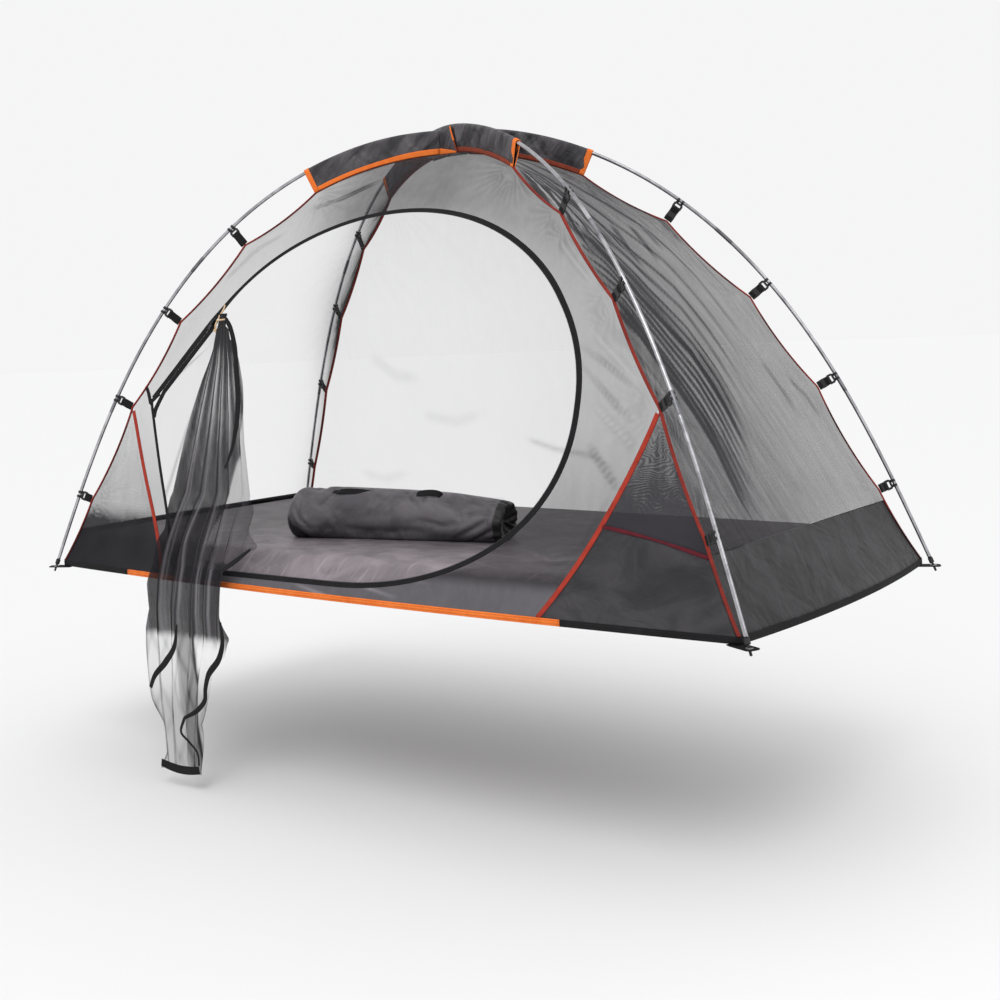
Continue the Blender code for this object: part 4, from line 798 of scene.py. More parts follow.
def clothOut(height, share):
    smooth = np.interp(height, smoothUp, fineOut)
    nearPeak = np.clip((height - sleeveFoot) / 0.05, 0.0, 1.0)
    return smooth + (ridgeOut(height) - smooth) * np.maximum(share ** 6, nearPeak)


def bow(height):
    return np.clip((wallShape["bowTop"] - height) / (wallShape["bowTop"] - hem["top"]), 0.0, 1.0) ** 2


def sideDepth(x, height):
    share = np.minimum(np.abs(x) / (planX * ridgeOut(height)), 1.0)
    return planY * clothOut(height, share) + wallShape["sideBow"] * (1 - share ** 2) * bow(height)


def endDepth(y, height):
    share = np.minimum(np.abs(y) / (planY * ridgeOut(height)), 1.0)
    return planX * clothOut(height, share) + wallShape["endBow"] * (1 - share ** 2) * bow(height)


def ridgeSlope(arc):
    outA, upA = ridgeAt(max(arc - 0.004, 0.0))
    outB, upB = ridgeAt(min(arc + 0.004, halfLength))
    return math.atan2(upA - upB, outB - outA)


def onRidge(arm, arc):
    # a ridge point and the way out of the tent from it
    return placeOn(arm, *ridgeAt(arc)), awayFrom(arm, ridgeSlope(arc))


def smoothStep(value, low, high):
    share = np.clip((value - low) / (high - low), 0.0, 1.0)
    return share * share * (3 - 2 * share)


# Folds that the cloth takes where clips and seams pull on it
pulls = {
    "lift": 0.0011,
    "reach": 0.10,
    "rays": 15,
    "longLift": 0.0020,
    "denseFold": 1.2,
    "steepest": 0.35,
}
# each fold: its line in metres along and up the wall, width, depth and added density
netLines = {
    "right": (
        (((-0.219, 0.700), (-0.177, 0.651), (-0.172, 0.591), (-0.166, 0.530), (-0.146, 0.482), (-0.111, 0.416),
          (-0.098, 0.349), (-0.091, 0.298), (-0.090, 0.238), (-0.094, 0.165)), 0.005, 0.004, 0.62),
        (((-0.190, 0.700), (-0.150, 0.591), (-0.130, 0.500), (-0.085, 0.400), (-0.065, 0.298), (-0.070, 0.200)),
         0.020, 0.004, 0.20),
        (((-0.295, 0.530), (-0.259, 0.453), (-0.249, 0.396), (-0.223, 0.319), (-0.203, 0.239), (-0.200, 0.070)),
         0.005, 0.003, 0.55),
        (((-0.270, 0.560), (-0.236, 0.440), (-0.220, 0.350), (-0.180, 0.239), (-0.175, 0.080)), 0.010, 0.003, 0.18),
        (((-0.105, 0.830), (-0.150, 0.770), (-0.205, 0.720), (-0.245, 0.640), (-0.290, 0.530)), 0.005, 0.003, 0.65),
        (((-0.085, 0.835), (-0.110, 0.780), (-0.165, 0.720), (-0.205, 0.650)), 0.004, 0.003, 0.55),
        (((-0.070, 0.838), (-0.066, 0.797), (-0.086, 0.734), (-0.119, 0.664), (-0.140, 0.600)), 0.005, 0.002, 0.55),
        (((-0.239, 0.640), (-0.262, 0.580), (-0.290, 0.530)), 0.004, 0.002, 0.55),
        (((-0.140, 0.740), (-0.190, 0.700), (-0.232, 0.668), (-0.255, 0.620)), 0.006, 0.003, 0.50),
        (((-0.026, 0.692), (-0.056, 0.634), (-0.059, 0.583)), 0.006, 0.002, 0.22),
        (((0.052, 0.695), (0.035, 0.650), (0.019, 0.600)), 0.006, 0.002, 0.20),
        (((0.097, 0.692), (0.090, 0.660), (0.086, 0.633)), 0.006, 0.002, 0.15),
        (((0.324, 0.648), (0.300, 0.610), (0.279, 0.570)), 0.006, 0.002, 0.16),
        (((0.394, 0.456), (0.425, 0.350), (0.436, 0.247)), 0.004, 0.002, 0.30),
        (((0.423, 0.422), (0.450, 0.340), (0.466, 0.259)), 0.004, 0.002, 0.35),
        (((0.240, 0.347), (0.280, 0.300), (0.302, 0.242)), 0.005, 0.002, 0.22),
        (((0.162, 0.388), (0.185, 0.320), (0.195, 0.257)), 0.006, 0.002, 0.14),
    ),
    "front": (
        (((0.470, 0.660), (0.530, 0.600), (0.602, 0.541)), 0.008, 0.002, -0.12),
        (((0.490, 0.668), (0.550, 0.610), (0.622, 0.560)), 0.004, 0.002, 0.15),
        (((0.558, 0.446), (0.640, 0.400), (0.739, 0.336)), 0.005, 0.002, 0.16),
        (((0.585, 0.474), (0.650, 0.420), (0.732, 0.350)), 0.008, 0.002, -0.14),
        (((0.564, 0.416), (0.640, 0.350), (0.727, 0.279)), 0.005, 0.002, 0.18),
        (((0.606, 0.259), (0.670, 0.190), (0.744, 0.116)), 0.006, 0.002, 0.16),
        (((0.609, 0.334), (0.690, 0.270), (0.766, 0.207)), 0.008, 0.002, -0.10),
        (((0.480, 0.050), (0.560, 0.030), (0.640, 0.050)), 0.008, 0.002, -0.12),
        (((-0.560, 0.640), (-0.480, 0.700), (-0.400, 0.760)), 0.004, 0.002, 0.25),
        (((-0.520, 0.620), (-0.430, 0.690), (-0.330, 0.740)), 0.004, 0.002, 0.18),
        (((-0.300, 0.780), (-0.200, 0.800), (-0.080, 0.840)), 0.004, 0.002, 0.18),
    ),
    "back": (
        (((-0.080, 0.190), (0.020, 0.160), (0.130, 0.145), (0.210, 0.100)), 0.006, 0.003, 1.1),
        (((-0.420, 0.250), (-0.300, 0.230), (-0.180, 0.260)), 0.010, 0.003, 0.35),
        (((-0.560, 0.420), (-0.480, 0.360), (-0.380, 0.350)), 0.012, 0.003, 0.35),
        (((0.230, 0.480), (0.330, 0.400), (0.400, 0.270)), 0.014, 0.003, 0.40),
        (((-0.700, 0.080), (-0.600, 0.060), (-0.480, 0.090)), 0.008, 0.003, 0.35),
    ),
    "left": (
        (((0.330, 0.640), (0.360, 0.500), (0.390, 0.360), (0.420, 0.200)), 0.008, 0.003, 3.0),
        (((0.290, 0.640), (0.330, 0.480), (0.370, 0.330), (0.400, 0.150)), 0.006, 0.003, 2.0),
        (((0.200, 0.720), (0.250, 0.600), (0.310, 0.430), (0.350, 0.250)), 0.010, 0.003, 0.8),
    ),
}


def between(first, second, share, width, depth, extra):
    # a further fold part of the way from one line to another
    steps = np.linspace(0.0, 1.0, 8)
    low, high = [onto(lengthsOf(line), line, steps * lengthsOf(line)[-1]) for line in (first, second)]
    return tuple(map(tuple, low + (high - low) * share)), width, depth, extra


# fine folds beside the right wall's main one: how far towards the next, width, depth, density
besideMain = (
    (0.20, 0.003, 0.002, 0.22), (0.36, 0.003, 0.002, 0.34), (0.52, 0.003, 0.002, 0.18), (0.70, 0.003, 0.002, 0.34),
    (0.86, 0.003, 0.002, 0.20), (-0.22, 0.003, 0.002, 0.26), (-0.45, 0.003, 0.002, 0.20), (-0.75, 0.005, 0.002, 0.16),
    (-1.10, 0.004, 0.002, 0.14), (-1.55, 0.005, 0.002, 0.12), (-2.10, 0.004, 0.002, 0.12), (-2.8, 0.005, 0.002, 0.12),
    (-3.6, 0.004, 0.002, 0.10), (-4.5, 0.005, 0.002, 0.10),
)
mainFold, nextFold = netLines["right"][0][0], netLines["right"][2][0]
netLines["right"] = tuple((*row[:3], row[3] * 0.78) for row in netLines["right"])
netLines["right"] += tuple(between(mainFold, nextFold, *row) for row in besideMain)
netLines["right"] += tuple(  # a fan under the sleeve's end, light and dark by turns
    (((-0.100 + 0.003 * k, 0.833), (-0.150 + 0.010 * k, 0.760), (-0.232 + 0.020 * k, 0.690 - 0.006 * k),
      (-0.262 + 0.026 * k, 0.600)), 0.0030, 0.002, (1.1 if k % 2 == 0 else -0.55) * (1 - 0.09 * k)) for k in range(9))


def foldField(t, height, lines):
    # what the drawn folds add: how far they stand out, and how much denser they are
    lift, dense = np.zeros((2, *np.broadcast(t, height).shape))
    for points, width, depth, extra in lines:
        path = np.array(points)
        spans = lengthsOf(path)
        near, at = np.full(lift.shape, 9.0), np.zeros(lift.shape)
        for a, run, span in zip(path[:-1], np.diff(path, axis=0), spans):
            share = np.clip(((t - a[0]) * run[0] + (height - a[1]) * run[1]) / (run @ run), 0.0, 1.0)
            far = np.hypot(t - a[0] - share * run[0], height - a[1] - share * run[1])
            at = np.where(far < near, (span + share * np.linalg.norm(run)) / spans[-1], at)
            near = np.minimum(near, far)
        weight = np.exp(-((near / width) ** 2)) * smoothStep(at, 0.0, 0.15) * smoothStep(1 - at, 0.0, 0.35)
        lift += depth * weight
        dense += extra * weight
    return lift, dense


def wallFolds(t, height, plan, seed):
    # t runs along the wall; folds fan out from each clip and the two corners
    lift = np.zeros(np.broadcast(t, height).shape)
    for number, (_, (out, up)) in enumerate(anchors):
        for side in (-1, 1):
            dx, dz = t - side * plan * out, height - up
            far = np.hypot(dx, dz)
            angle = np.arctan2(dz, dx)
            phase = seed * 1.7 + number * 2.3 + side
            bend = angle * pulls["rays"] + phase + 1.2 * np.sin(3 * angle + phase) + 3.0 * far
            lift += pulls["lift"] * smoothStep(far, 0.0, 0.05) * np.exp(-far / pulls["reach"]) * np.cos(bend)
    slow = np.sin(9 * t + 5 * height + seed) * np.sin(7 * height - 4 * t + 2 * seed)
    return lift + pulls["longLift"] * slow


def foldDensity(slopeT, slopeH):
    # how much more net there is per area where it slopes
    return 1.0 + pulls["denseFold"] * np.minimum(np.hypot(slopeT, slopeH), pulls["steepest"])


def gatherField(t, height, wall):
    # where each net hangs closer together
    if wall == "left":
        near = planY * ridgeOut(height) - t
        high = smoothStep(height, 0.25, 0.60)
        return 0.75 + (3.0 + 5.0 * high) * np.exp(-near / (0.026 + 0.026 * high)) + 0.6 * np.exp(-near / 0.12)
    if wall == "right":
        crown = 0.30 * smoothStep(height, 0.62, 0.80) * smoothStep(t, -0.12, 0.10)
        doorSide = 0.25 * smoothStep(height, 0.55, 0.75) * smoothStep(-t, 0.05, 0.15)
        return 1.28 - 0.42 * smoothStep(t, -0.30, 0.30) + crown - doorSide
    if wall == "front":
        left = 0.30 * smoothStep(-t, 0.10, 0.50)
        top = 0.75 * smoothStep(t, -0.34, -0.12) * (1 - 0.4 * smoothStep(t, 0.08, 0.25))
        top = top * smoothStep(height, 0.50, 0.80)
        below = 0.40 * smoothStep(-height, -0.33, -0.05)
        low = 2.6 * smoothStep(-height, 0.000, 0.035) * smoothStep(-np.abs(t), -0.70, -0.55)
        foot = 1.6 * smoothStep(-height, -0.085, 0.0) * smoothStep(-t - seamX(height), -0.006, 0.006)
        return 0.92 - left + top + below + low + foot
    return 0.75 + 0.55 * smoothStep(t, -0.3, 0.5) + 0.3 * smoothStep(height, 0.5, 0.85)


def makeWall(name, depth, plan, sign, alongX, look, node, slot, low=None, high=None, columns=150, seed=1.0, wall=None):
    # a net or cloth between two ridges, from its top edge down to the hem or to low
    heights = np.array([ridgeAt(arc)[1] for arc in np.linspace(ridge["peakArc"], halfLength, ridge["steps"])])
    if high is not None:
        heights = np.concatenate([[high], heights[heights < high - 0.002]])
    if low is not None:
        heights = np.concatenate([heights[heights > low + 0.002], [low]])
    heights[-1] = max(heights[-1], wallFoot)
    share = np.linspace(-1.0, 1.0, columns)
    t = (plan * ridgeOut(heights) - wallShape["edgeIn"])[:, None] * share[None, :]
    h = np.repeat(heights[:, None], columns, axis=1)
    inner = 1 - np.abs(share)[None, :]
    edge = smoothStep(inner, 0.0, 0.06) * smoothStep(h, hem["top"], hem["top"] + 0.05)
    edge = edge * smoothStep(heights[0] - h, -0.001, 0.03)
    extraLift, extraDense = foldField(t, h, netLines.get(wall, ()))
    lift = (wallFolds(t, h, plan, seed) * (1.0 if wall else 0.35) + extraLift) * edge
    base = sign * (depth(t, h) + lift - wallShape["cloth"] / 2)
    grid = np.stack([t, base, h] if alongX else [base, t, h], axis=-1)
    stepT = np.maximum(np.abs(np.gradient(t, axis=1)), 1e-6)
    stepH = np.maximum(np.abs(np.gradient(h, axis=0)), 0.004)
    dense = foldDensity(np.gradient(lift, axis=1) / stepT, np.gradient(lift, axis=0) / stepH)
    if wall:
        dense = dense * gatherField(t, h, wall) + extraDense * smoothStep(inner, 0.0, 0.01)
    mesh = gridMesh(name, grid, dense=dense, flip=(sign if alongX else -sign) < 0)
    piece = addPiece(name, mesh, look, "tent", (node,), slot)
    return piece if wall else thicken(piece, wallShape["cloth"])


bands = {"topRight": 0.062, "topLeft": 0.012}
makeWall("netBack", sideDepth, planX, 1, True, "backNet", "back_net", "net", wall="back")
makeWall("netRight", endDepth, planY, 1, False, "sideNet", "right_net", "net", low=bands["topRight"],
         columns=260, seed=2.0, wall="right")
makeWall("netLeft", endDepth, planY, -1, False, "leftNet", "left_net", "net", low=bands["topLeft"], seed=3.0,
         wall="left")
makeWall("bandRight", endDepth, planY, 1, False, "bandCloth", "right_band", "base_cloth", high=bands["topRight"])
makeWall("bandLeft", endDepth, planY, -1, False, "baseCloth", "left_band", "base_cloth", high=bands["topLeft"])
print("back and end walls ready")


# The front wall is drawn as x and z, then laid on the curved surface
door = {
    "centreHeight": 0.335,
    "halfWidth": 0.581,
    "rise": 0.417,
    "drop": 0.385,
    "lowerPower": 2.2,
    "tangent": 1.0,
    "hingeTop": (-0.700, 0.336),
    "hingeFoot": (-0.525, -0.054),
    "hingeBow": 0.010,
    "hingeHalf": 0.005,
    "tapeDone": 0.007,
    "tapeSlim": 0.0042,
    "tapeWide": 0.0062,
    "tapeFoot": 0.0048,
    "coilGap": 0.0032,
    "doorTapeHalf": 0.0055,
    "doorTapeEnd": 0.262,
    "zipStop": 0.045,
    "zipStopDrop": 0.034,
    "webEnd": (-0.500, 0.492),
    "tapeCloth": 0.0016,
    "flatNear": 0.035,  # the wall keeps flat this near to the zip
}
seams = {"foot": 0.55, "bow": 0.015, "width": 0.0105, "cloth": 0.0016, "splitOuter": 0.058, "splitInner": 0.100}
seamTopOut, seamTop = anchors[3][1]
seamTopX = planX * seamTopOut


def seamX(height):
    share = (height - hem["top"]) / (seamTop - hem["top"])
    return seams["foot"] + share * (seamTopX - seams["foot"]) + 4 * seams["bow"] * share * (1 - share)


def hingeX(height):
    (topX, topZ), (footX, footZ) = door["hingeTop"], door["hingeFoot"]
    share = (height - footZ) / (topZ - footZ)
    return footX + share * (topX - footX) - 4 * door["hingeBow"] * share * (1 - share)


def zipPath(fine=1):
    # from the hinge's top, up the straight run, round the arch and back along the foot
    points = []
    ratio = (door["halfWidth"] / door["rise"]) ** 2 / door["tangent"]
    level = 1 / math.sqrt((ratio / door["halfWidth"]) ** 2 + (1 / door["rise"]) ** 2)
    (topX, topZ), (footX, footZ) = door["hingeTop"], door["hingeFoot"]
    join = (-ratio * level, door["centreHeight"] + level)
    runs, arch, lower, foot = 12 * fine, 19 * fine, 15 * fine, 6 * fine
    for i in range(runs):
        points.append((topX + (join[0] - topX) * i / runs, topZ + (join[1] - topZ) * i / runs))
    start = math.atan2(level / door["rise"], -ratio * level / door["halfWidth"])
    for i in range(arch):
        angle = start * (1 - i / arch)
        points.append((door["halfWidth"] * math.cos(angle), door["centreHeight"] + door["rise"] * math.sin(angle)))
    for i in range(lower):
        angle = math.radians(90) * i / lower
        power = 2 / door["lowerPower"]
        x = door["halfWidth"] * math.cos(angle) ** power
        points.append((x, door["centreHeight"] - door["drop"] * math.sin(angle) ** power))
    base = door["centreHeight"] - door["drop"]
    for i in range(foot + 1):
        points.append((footX * i / foot, base + (footZ - base) * i / foot))
    return points


def shifted(points, gap):
    # a 2D path moved to its left
    result = []
    for i, point in enumerate(points):
        before, after = points[max(i - 1, 0)], points[min(i + 1, len(points) - 1)]
        run = (after[0] - before[0], after[1] - before[1])
        size = math.hypot(*run)
        width = gap[i] if isinstance(gap, (list, np.ndarray)) else gap
        result.append((point[0] - run[1] / size * width, point[1] + run[0] / size * width))
    return result


def pathPart(path, start, end, steps):
    # an even run of points between two lengths along a path
    lengths = lengthsOf(path)
    at = np.linspace(start, lengths[-1] + end if end <= 0 else end, steps)
    return [tuple(map(float, point)) for point in onto(lengths, path, at)]


def tapeHalves(points):
    # mid-wide where it is done up, slim over the top, wide down the right
    halves = []
    for (x, height), span in zip(points, lengthsOf(points)):
        right = min(max((x - 0.05) / 0.45, 0.0), 1.0)
        side = door["tapeSlim"] + (door["tapeWide"] - door["tapeSlim"]) * right
        low = 0.0
        if x > door["hingeTop"][0] / 2 or height < 0.05:
            low = min(max((door["centreHeight"] - 0.15 - height) / 0.20, 0.0), 1.0)
        done = min(max((door["doorTapeEnd"] + 0.10 - span) / 0.10, 0.0), 1.0) if height > 0.3 and x < -0.3 else 0.0
        side = side + (door["tapeFoot"] - side) * low
        halves.append(side + (door["tapeDone"] - side) * done)
    return halves


def hingePath(steps=40):
    heights = np.linspace(door["hingeFoot"][1], door["hingeTop"][1], steps + 1)
    return [(hingeX(height), height) for height in heights]


zipLine = zipPath(4)
flatLines = np.array(zipLine + hingePath(30))


def frontLift(x, height):
    # the front wall's own folds, none near the zip, the hinge and the seams
    x, height = np.asarray(x, float), np.asarray(height, float)
    gaps = np.hypot(x.ravel()[:, None] - flatLines[None, :, 0], height.ravel()[:, None] - flatLines[None, :, 1])
    near = gaps.min(axis=1).reshape(x.shape)
    room = smoothStep(near, 0.012, door["flatNear"] + 0.03)
    room = room * smoothStep(np.abs(np.abs(x) - seamX(height)), 0.004, 0.03)
    room = room * smoothStep(height, hem["top"], hem["top"] + 0.05)
    room = room * smoothStep(planX * ridgeOut(height) - np.abs(x), 0.0, 0.025)
    return (wallFolds(x, height, planX, 5.0) + foldField(x, height, netLines["front"])[0]) * room


def frontPoints(x, height, out=0.0):
    x, height = np.asarray(x, float), np.asarray(height, float)
    return np.stack([x, -(sideDepth(x, height) + frontLift(x, height)) - out, height], axis=-1)


def frontNormal(x, height, step=0.004):
    rise = frontPoints(x, height + step) - frontPoints(x, height - step)
    run = frontPoints(x + step, height) - frontPoints(x - step, height)
    way = np.cross(run, rise)
    return way / np.linalg.norm(way, axis=-1, keepdims=True)


def rayReach(centre, angle, path):
    # nearest crossing of a ray with a path, or far off where there is none
    path = np.array(path)
    dx, dz = math.cos(angle), math.sin(angle)
    a, e = path[:-1] - centre, np.diff(path, axis=0)
    cross = dx * e[:, 1] - dz * e[:, 0]
    cross = np.where(np.abs(cross) < 1e-12, 1e-12, cross)
    reach = (a[:, 0] * e[:, 1] - a[:, 1] * e[:, 0]) / cross
    share = (a[:, 0] * dz - a[:, 1] * dx) / cross
    good = (reach > 0) & (share >= -1e-9) & (share <= 1 + 1e-9)
    return float(np.min(reach[good])) if good.any() else 9.0


def crossingOf(first, second):
    # where two paths cross, or come nearest to it
    best = (9.0, None)
    for a, b in zip(first, first[1:]):
        for c, d in zip(second, second[1:]):
            run, other, gap = np.subtract(b, a), np.subtract(d, c), np.subtract(c, a)
            cross = run[0] * other[1] - run[1] * other[0]
            t = (gap[0] * other[1] - gap[1] * other[0]) / cross
            u = (gap[0] * run[1] - gap[1] * run[0]) / cross
            miss, spot = max(-t, t - 1, -u, u - 1), (a[0] + run[0] * t, a[1] + run[1] * t)
            best = min(best, (miss, spot), key=lambda row: row[0])
    return best[1]


def stretchedPath(points, extra):
    # both ends of a path carried straight on
    ends = []
    for end, inner in ((points[0], points[1]), (points[-1], points[-2])):
        way = np.subtract(end, inner)
        ends.append(tuple(end + way / np.linalg.norm(way) * extra))
    return [ends[0], *points, ends[1]]


def frontOutline(steps=60):
    right = [(seamX(z) - 0.001, z) for z in np.linspace(wallFoot, seamTop - 0.004, steps)]
    for arc in np.linspace(halfLength, ridge["peakArc"], 220):
        out, up = ridgeAt(arc)
        if up > seamTop + 0.004:
            right.append((planX * out - wallShape["edgeIn"], up))
    return right + [(-x, z) for x, z in reversed(right)]


def makeFrontNet(rings=84, rays=560):
    # rays from the door's middle: each runs from the zip or the hinge to the wall's edge
    centre = np.array((0.0, door["centreHeight"]))
    path = zipPath(2)
    zipEdge = stretchedPath(shifted(path, tapeHalves(path)), 0.05)
    hingeEdge = stretchedPath(shifted(hingePath(), door["hingeHalf"]), 0.05)
    outline = frontOutline()
    corners = [crossingOf(zipEdge[:4], hingeEdge[-4:]), crossingOf(zipEdge[-4:], hingeEdge[:4])]
    angles = [math.atan2(z - centre[1], x - centre[0]) for x, z in corners + [outline[0], outline[-1]]]
    angles += [float(angle) for angle in np.linspace(-math.pi, math.pi, rays, endpoint=False)
               if all(abs(angle - other) > 0.004 for other in angles)]
    angles = np.array(sorted(set(angles)))
    near = np.array([min(rayReach(centre, a, zipEdge), rayReach(centre, a, hingeEdge)) for a in angles])
    far = np.array([rayReach(centre, a, outline + [outline[0]]) for a in angles])
    reach = near[None, :] + (far - near)[None, :] * np.linspace(0.0, 1.0, rings)[:, None]
    x = centre[0] + reach * np.cos(angles)[None, :]
    z = centre[1] + reach * np.sin(angles)[None, :]
    uv = np.stack([np.hstack([x, x[:, :1]]), np.hstack([z, z[:, :1]])], axis=-1)
    # opaque cloth below the zip, painted lighter all over as a painted sheen, with painted highlights along its creases
    solid = smoothStep(-z, 0.0, 0.035) * smoothStep(-np.abs(x), -0.70, -0.60)
    crease = np.maximum(np.sin(17 * x + 150 * z + 2 * np.sin(4 * x)), 0.0) ** 6
    crease = crease * np.maximum(np.sin(9 * x - 20 * z), 0.0)
    mesh = gridMesh("netFront", frontPoints(x, z, -wallShape["cloth"] / 2), closed=True, uv=uv,
                    dense=netDensity(x, z), paintedLightAndTone=solid * (0.34 + 0.42 * crease))
    addPiece("netFront", turnedTo(mesh, doorSide), "frontNet", "tent", ("front_net",), "net")


def netDensity(x, z, step=0.003):
    slopeX = (frontLift(x + step, z) - frontLift(x - step, z)) / (2 * step)
    slopeZ = (frontLift(x, z + step) - frontLift(x, z - step)) / (2 * step)
    return foldDensity(slopeX, slopeZ) * gatherField(x, z, "front") + foldField(x, z, netLines["front"])[1]


doorSide, upwards = Vector((0.0, -1.0, 0.0)), Vector((0.0, 0.0, 1.0))


def makeGusset(name, sign, low, high, lowOuter, highOuter, look, node, slot, rows=70, columns=26):
    # a corner of the front wall, from its seam out to the ridge
    share = np.linspace(0.0, 1.0, rows)[:, None]
    inner = low + (high - low) * share
    outer = lowOuter + (highOuter - lowOuter) * share
    start = seamX(inner) + 0.001
    t = np.linspace(0.0, 1.0, columns)[None, :]
    z = inner + (outer - inner) * t
    x = sign * (start + (planX * ridgeOut(outer) - wallShape["edgeIn"] - start) * t)
    solid = slot == "base_cloth"
    mesh = gridMesh(name, frontPoints(x, z, 0.0 if solid else -wallShape["cloth"] / 2), dense=netDensity(x, z))
    piece = addPiece(name, turnedTo(mesh, doorSide), look, "tent", (node,), slot)
    return thicken(piece, wallShape["cloth"]) if solid else piece


def stripAlong(path, halves, columns, spans):
    # x and z of a tape along a drawn path, its shares across and its map
    left, right = [np.array(shifted(path, list(side * halves))) for side in (1, -1)]
    share = np.linspace(0.0, 1.0, columns + 1)[None, :]
    x, z = [left[:, k:k + 1] + (right[:, k:k + 1] - left[:, k:k + 1]) * share for k in (0, 1)]
    return x, z, share, np.stack([spans[:, None] + 0 * share, (share - 0.5) * 2 * halves[:, None]], axis=-1)


def ribbon(name, path, halves, cloth, look, node=None, slot=None, columns=4, out=0.0003, crown=0.0):
    # a tape on the front wall, along a 2D path
    x, z, share, uv = stripAlong(path, np.broadcast_to(halves, (len(path),)), columns, lengthsOf(path))
    grid = frontPoints(x, z, out)
    grid[..., 1] -= crown * (1 - (2 * share - 1) ** 2)
    mesh = turnedTo(gridMesh(name, grid, uv=uv), doorSide)
    addCloth(name, mesh, look, (node,) if node else (), slot, cloth)


def onFront(path, out):
    # points and ways up for a row of stitches
    path = np.array(path)
    points = frontPoints(path[:, 0], path[:, 1], out)
    return list(zip(points, frontNormal(path[:, 0], path[:, 1])))


def makeFront():
    makeFrontNet()
    top, inner, outer = seamTop - 0.006, seams["splitInner"], seams["splitOuter"]
    makeGusset("gussetLeft", -1, wallFoot, top, wallFoot, top, "gussetNet", "front_gusset_left", "net")
    makeGusset("gussetRight", 1, inner, top, outer, top, "gussetNetRight", "front_gusset_right", "net")
    makeGusset("cornerPanelRight", 1, wallFoot, inner, wallFoot, outer, "baseCloth", "corner_panel_right",
               "base_cloth")
    stitches = []
    for name, sign in (("left", -1), ("right", 1)):
        path = [(sign * seamX(z), z) for z in np.linspace(wallFoot, seamTop - 0.010, 80)]
        ribbon(f"seamTape_{name}", path, seams["width"] / 2, seams["cloth"], "brickTape", f"gusset_tape_{name}",
               "binding", crown=0.0006)
        stitches += [onFront(shifted(path, side * seams["width"] * 0.28), 0.0007) for side in (-1, 1)]
    t = np.linspace(0.0, 1.0, 60)
    start, end = seamX(inner) + 0.004, planX * float(ridgeOut(outer)) - 0.004
    path = [(start + (end - start) * k, inner + (outer - inner) * k + 0.004 * math.sin(3.1 * k)) for k in t]
    ribbon("panelSeamRight", path, 0.0030 + 0.0008 * np.sin(9 * t), 0.0008, "panelTape", None, "binding", out=0.0016)
    makeRow("seamStitches", stitches, 0.0036, stitchSize, "brickThread", slot="binding")
    path = pathPart(zipPath(3), 0.006, -0.012, 300)
    halves = tapeHalves(path)
    ribbon("zipTape", path, halves, door["tapeCloth"], "blackTape", "zipper_tape", "black_tape", 6)
    rows = [onFront(shifted(path, [side * half * 0.62 for half in halves]), 0.0004) for side in (-1, 1)]
    makeRow("zipTapeStitches", rows, 0.0038, stitchSize, "blackThread", slot="black_tape")
    # the hinge, the fold of tape above it and the neck between
    ribbon("hingeTape", hingePath(), door["hingeHalf"] * 0.8, door["tapeCloth"], "blackTape", "hinge_seam",
           "black_tape")
    head = [(-0.702 - 0.030 * k, 0.330 + 0.040 * k + 0.004 * math.sin(3 * k)) for k in np.linspace(0, 1, 20)]
    neck = [(-0.704 + 0.030 * k, 0.328 + 0.026 * k) for k in np.linspace(0, 1, 12)]
    for name, path, widths, out in (("hingeHead", head, (0.0052, 0.0042), 0.0014),
                                    ("hingeNeck", neck, (0.0048, 0.0065), 0.0018)):
        ribbon(name, path, np.linspace(*widths, len(path)), door["tapeCloth"], "blackTape", None, "black_tape", out=out)


makeFront()
print("front wall ready")


# Tapes on the ridges, cloth sleeves over the poles, the patch at the peak
sleeve = {
    "start": 0.008,
    "cloth": 0.0012,
    "shown": 0.0009,
    "slack": 0.0006,
    "footHalf": 0.0026,
    "crossingGap": 0.012,
    "bindingLength": 0.012,
    "bindingCloth": 0.0016,
    "rows": 90,
    "ruck": 0.0030,
    "pipingRows": 2.4,  # sixths of the flank
    "pipingWider": 1.28,
    "pipingCloth": 0.0007,
}


def makeRidgeTapes():
    half, deep = ridge["tapeShown"] / 2, ridge["tapeDepth"] / 2
    for arm in armSigns:
        side = acrossArm(arm)
        for name, arcs, look, swell, nodes in (
            ("sleeveSeam", np.linspace(ridge["peakArc"], ridge["sleeveReach"], 50), "brownTape", 0.8, ()),
            ("ridgeSeam", np.linspace(ridge["sleeveReach"], halfLength, 230), "ridgeTape", 1.0, (f"ridge_tape_{arm}",)),
        ):
            rings = []
            for arc in arcs:
                middle, outward = onRidge(arm, arc)
                if arc == halfLength:
                    middle = middle + upwards * ridge["tapeLift"]
                rings.append([middle + side * half * swell * c + outward * deep * 0.9 * s
                              for c, s in softOval(12, 0.6, 0.6)])
            # between the clips the tape is drawn darker, by an amount for each arm
            pulled = np.min([abs(arcs - clip) / ridge["clipGrip"] for clip in clipArcs], axis=0)
            turned = ridge["turned"][arm] * smoothStep(pulled, 0.5, 1.3)
            turned = turned * (0.75 + 0.25 * np.sin(arcs * 19 + len(arm)))
            mesh = loopedMesh(f"{name}_{arm}", rings, np.repeat(turned, 12))
            addPiece(f"{name}_{arm}", mesh, look, "tent", nodes, "binding")
        rows = []
        for way in (-1, 1):
            path = [onRidge(arm, arc) for arc in np.linspace(ridge["sleeveReach"], halfLength - 0.01, 260)]
            rows.append([(spot + outward * deep * 0.95 + way * side * half * 0.45, outward) for spot, outward in path])
        makeRow(f"ridgeStitches_{arm}", rows, 0.0042, (0.0028, 0.0006, 0.0005), "brickThread", slot="binding")


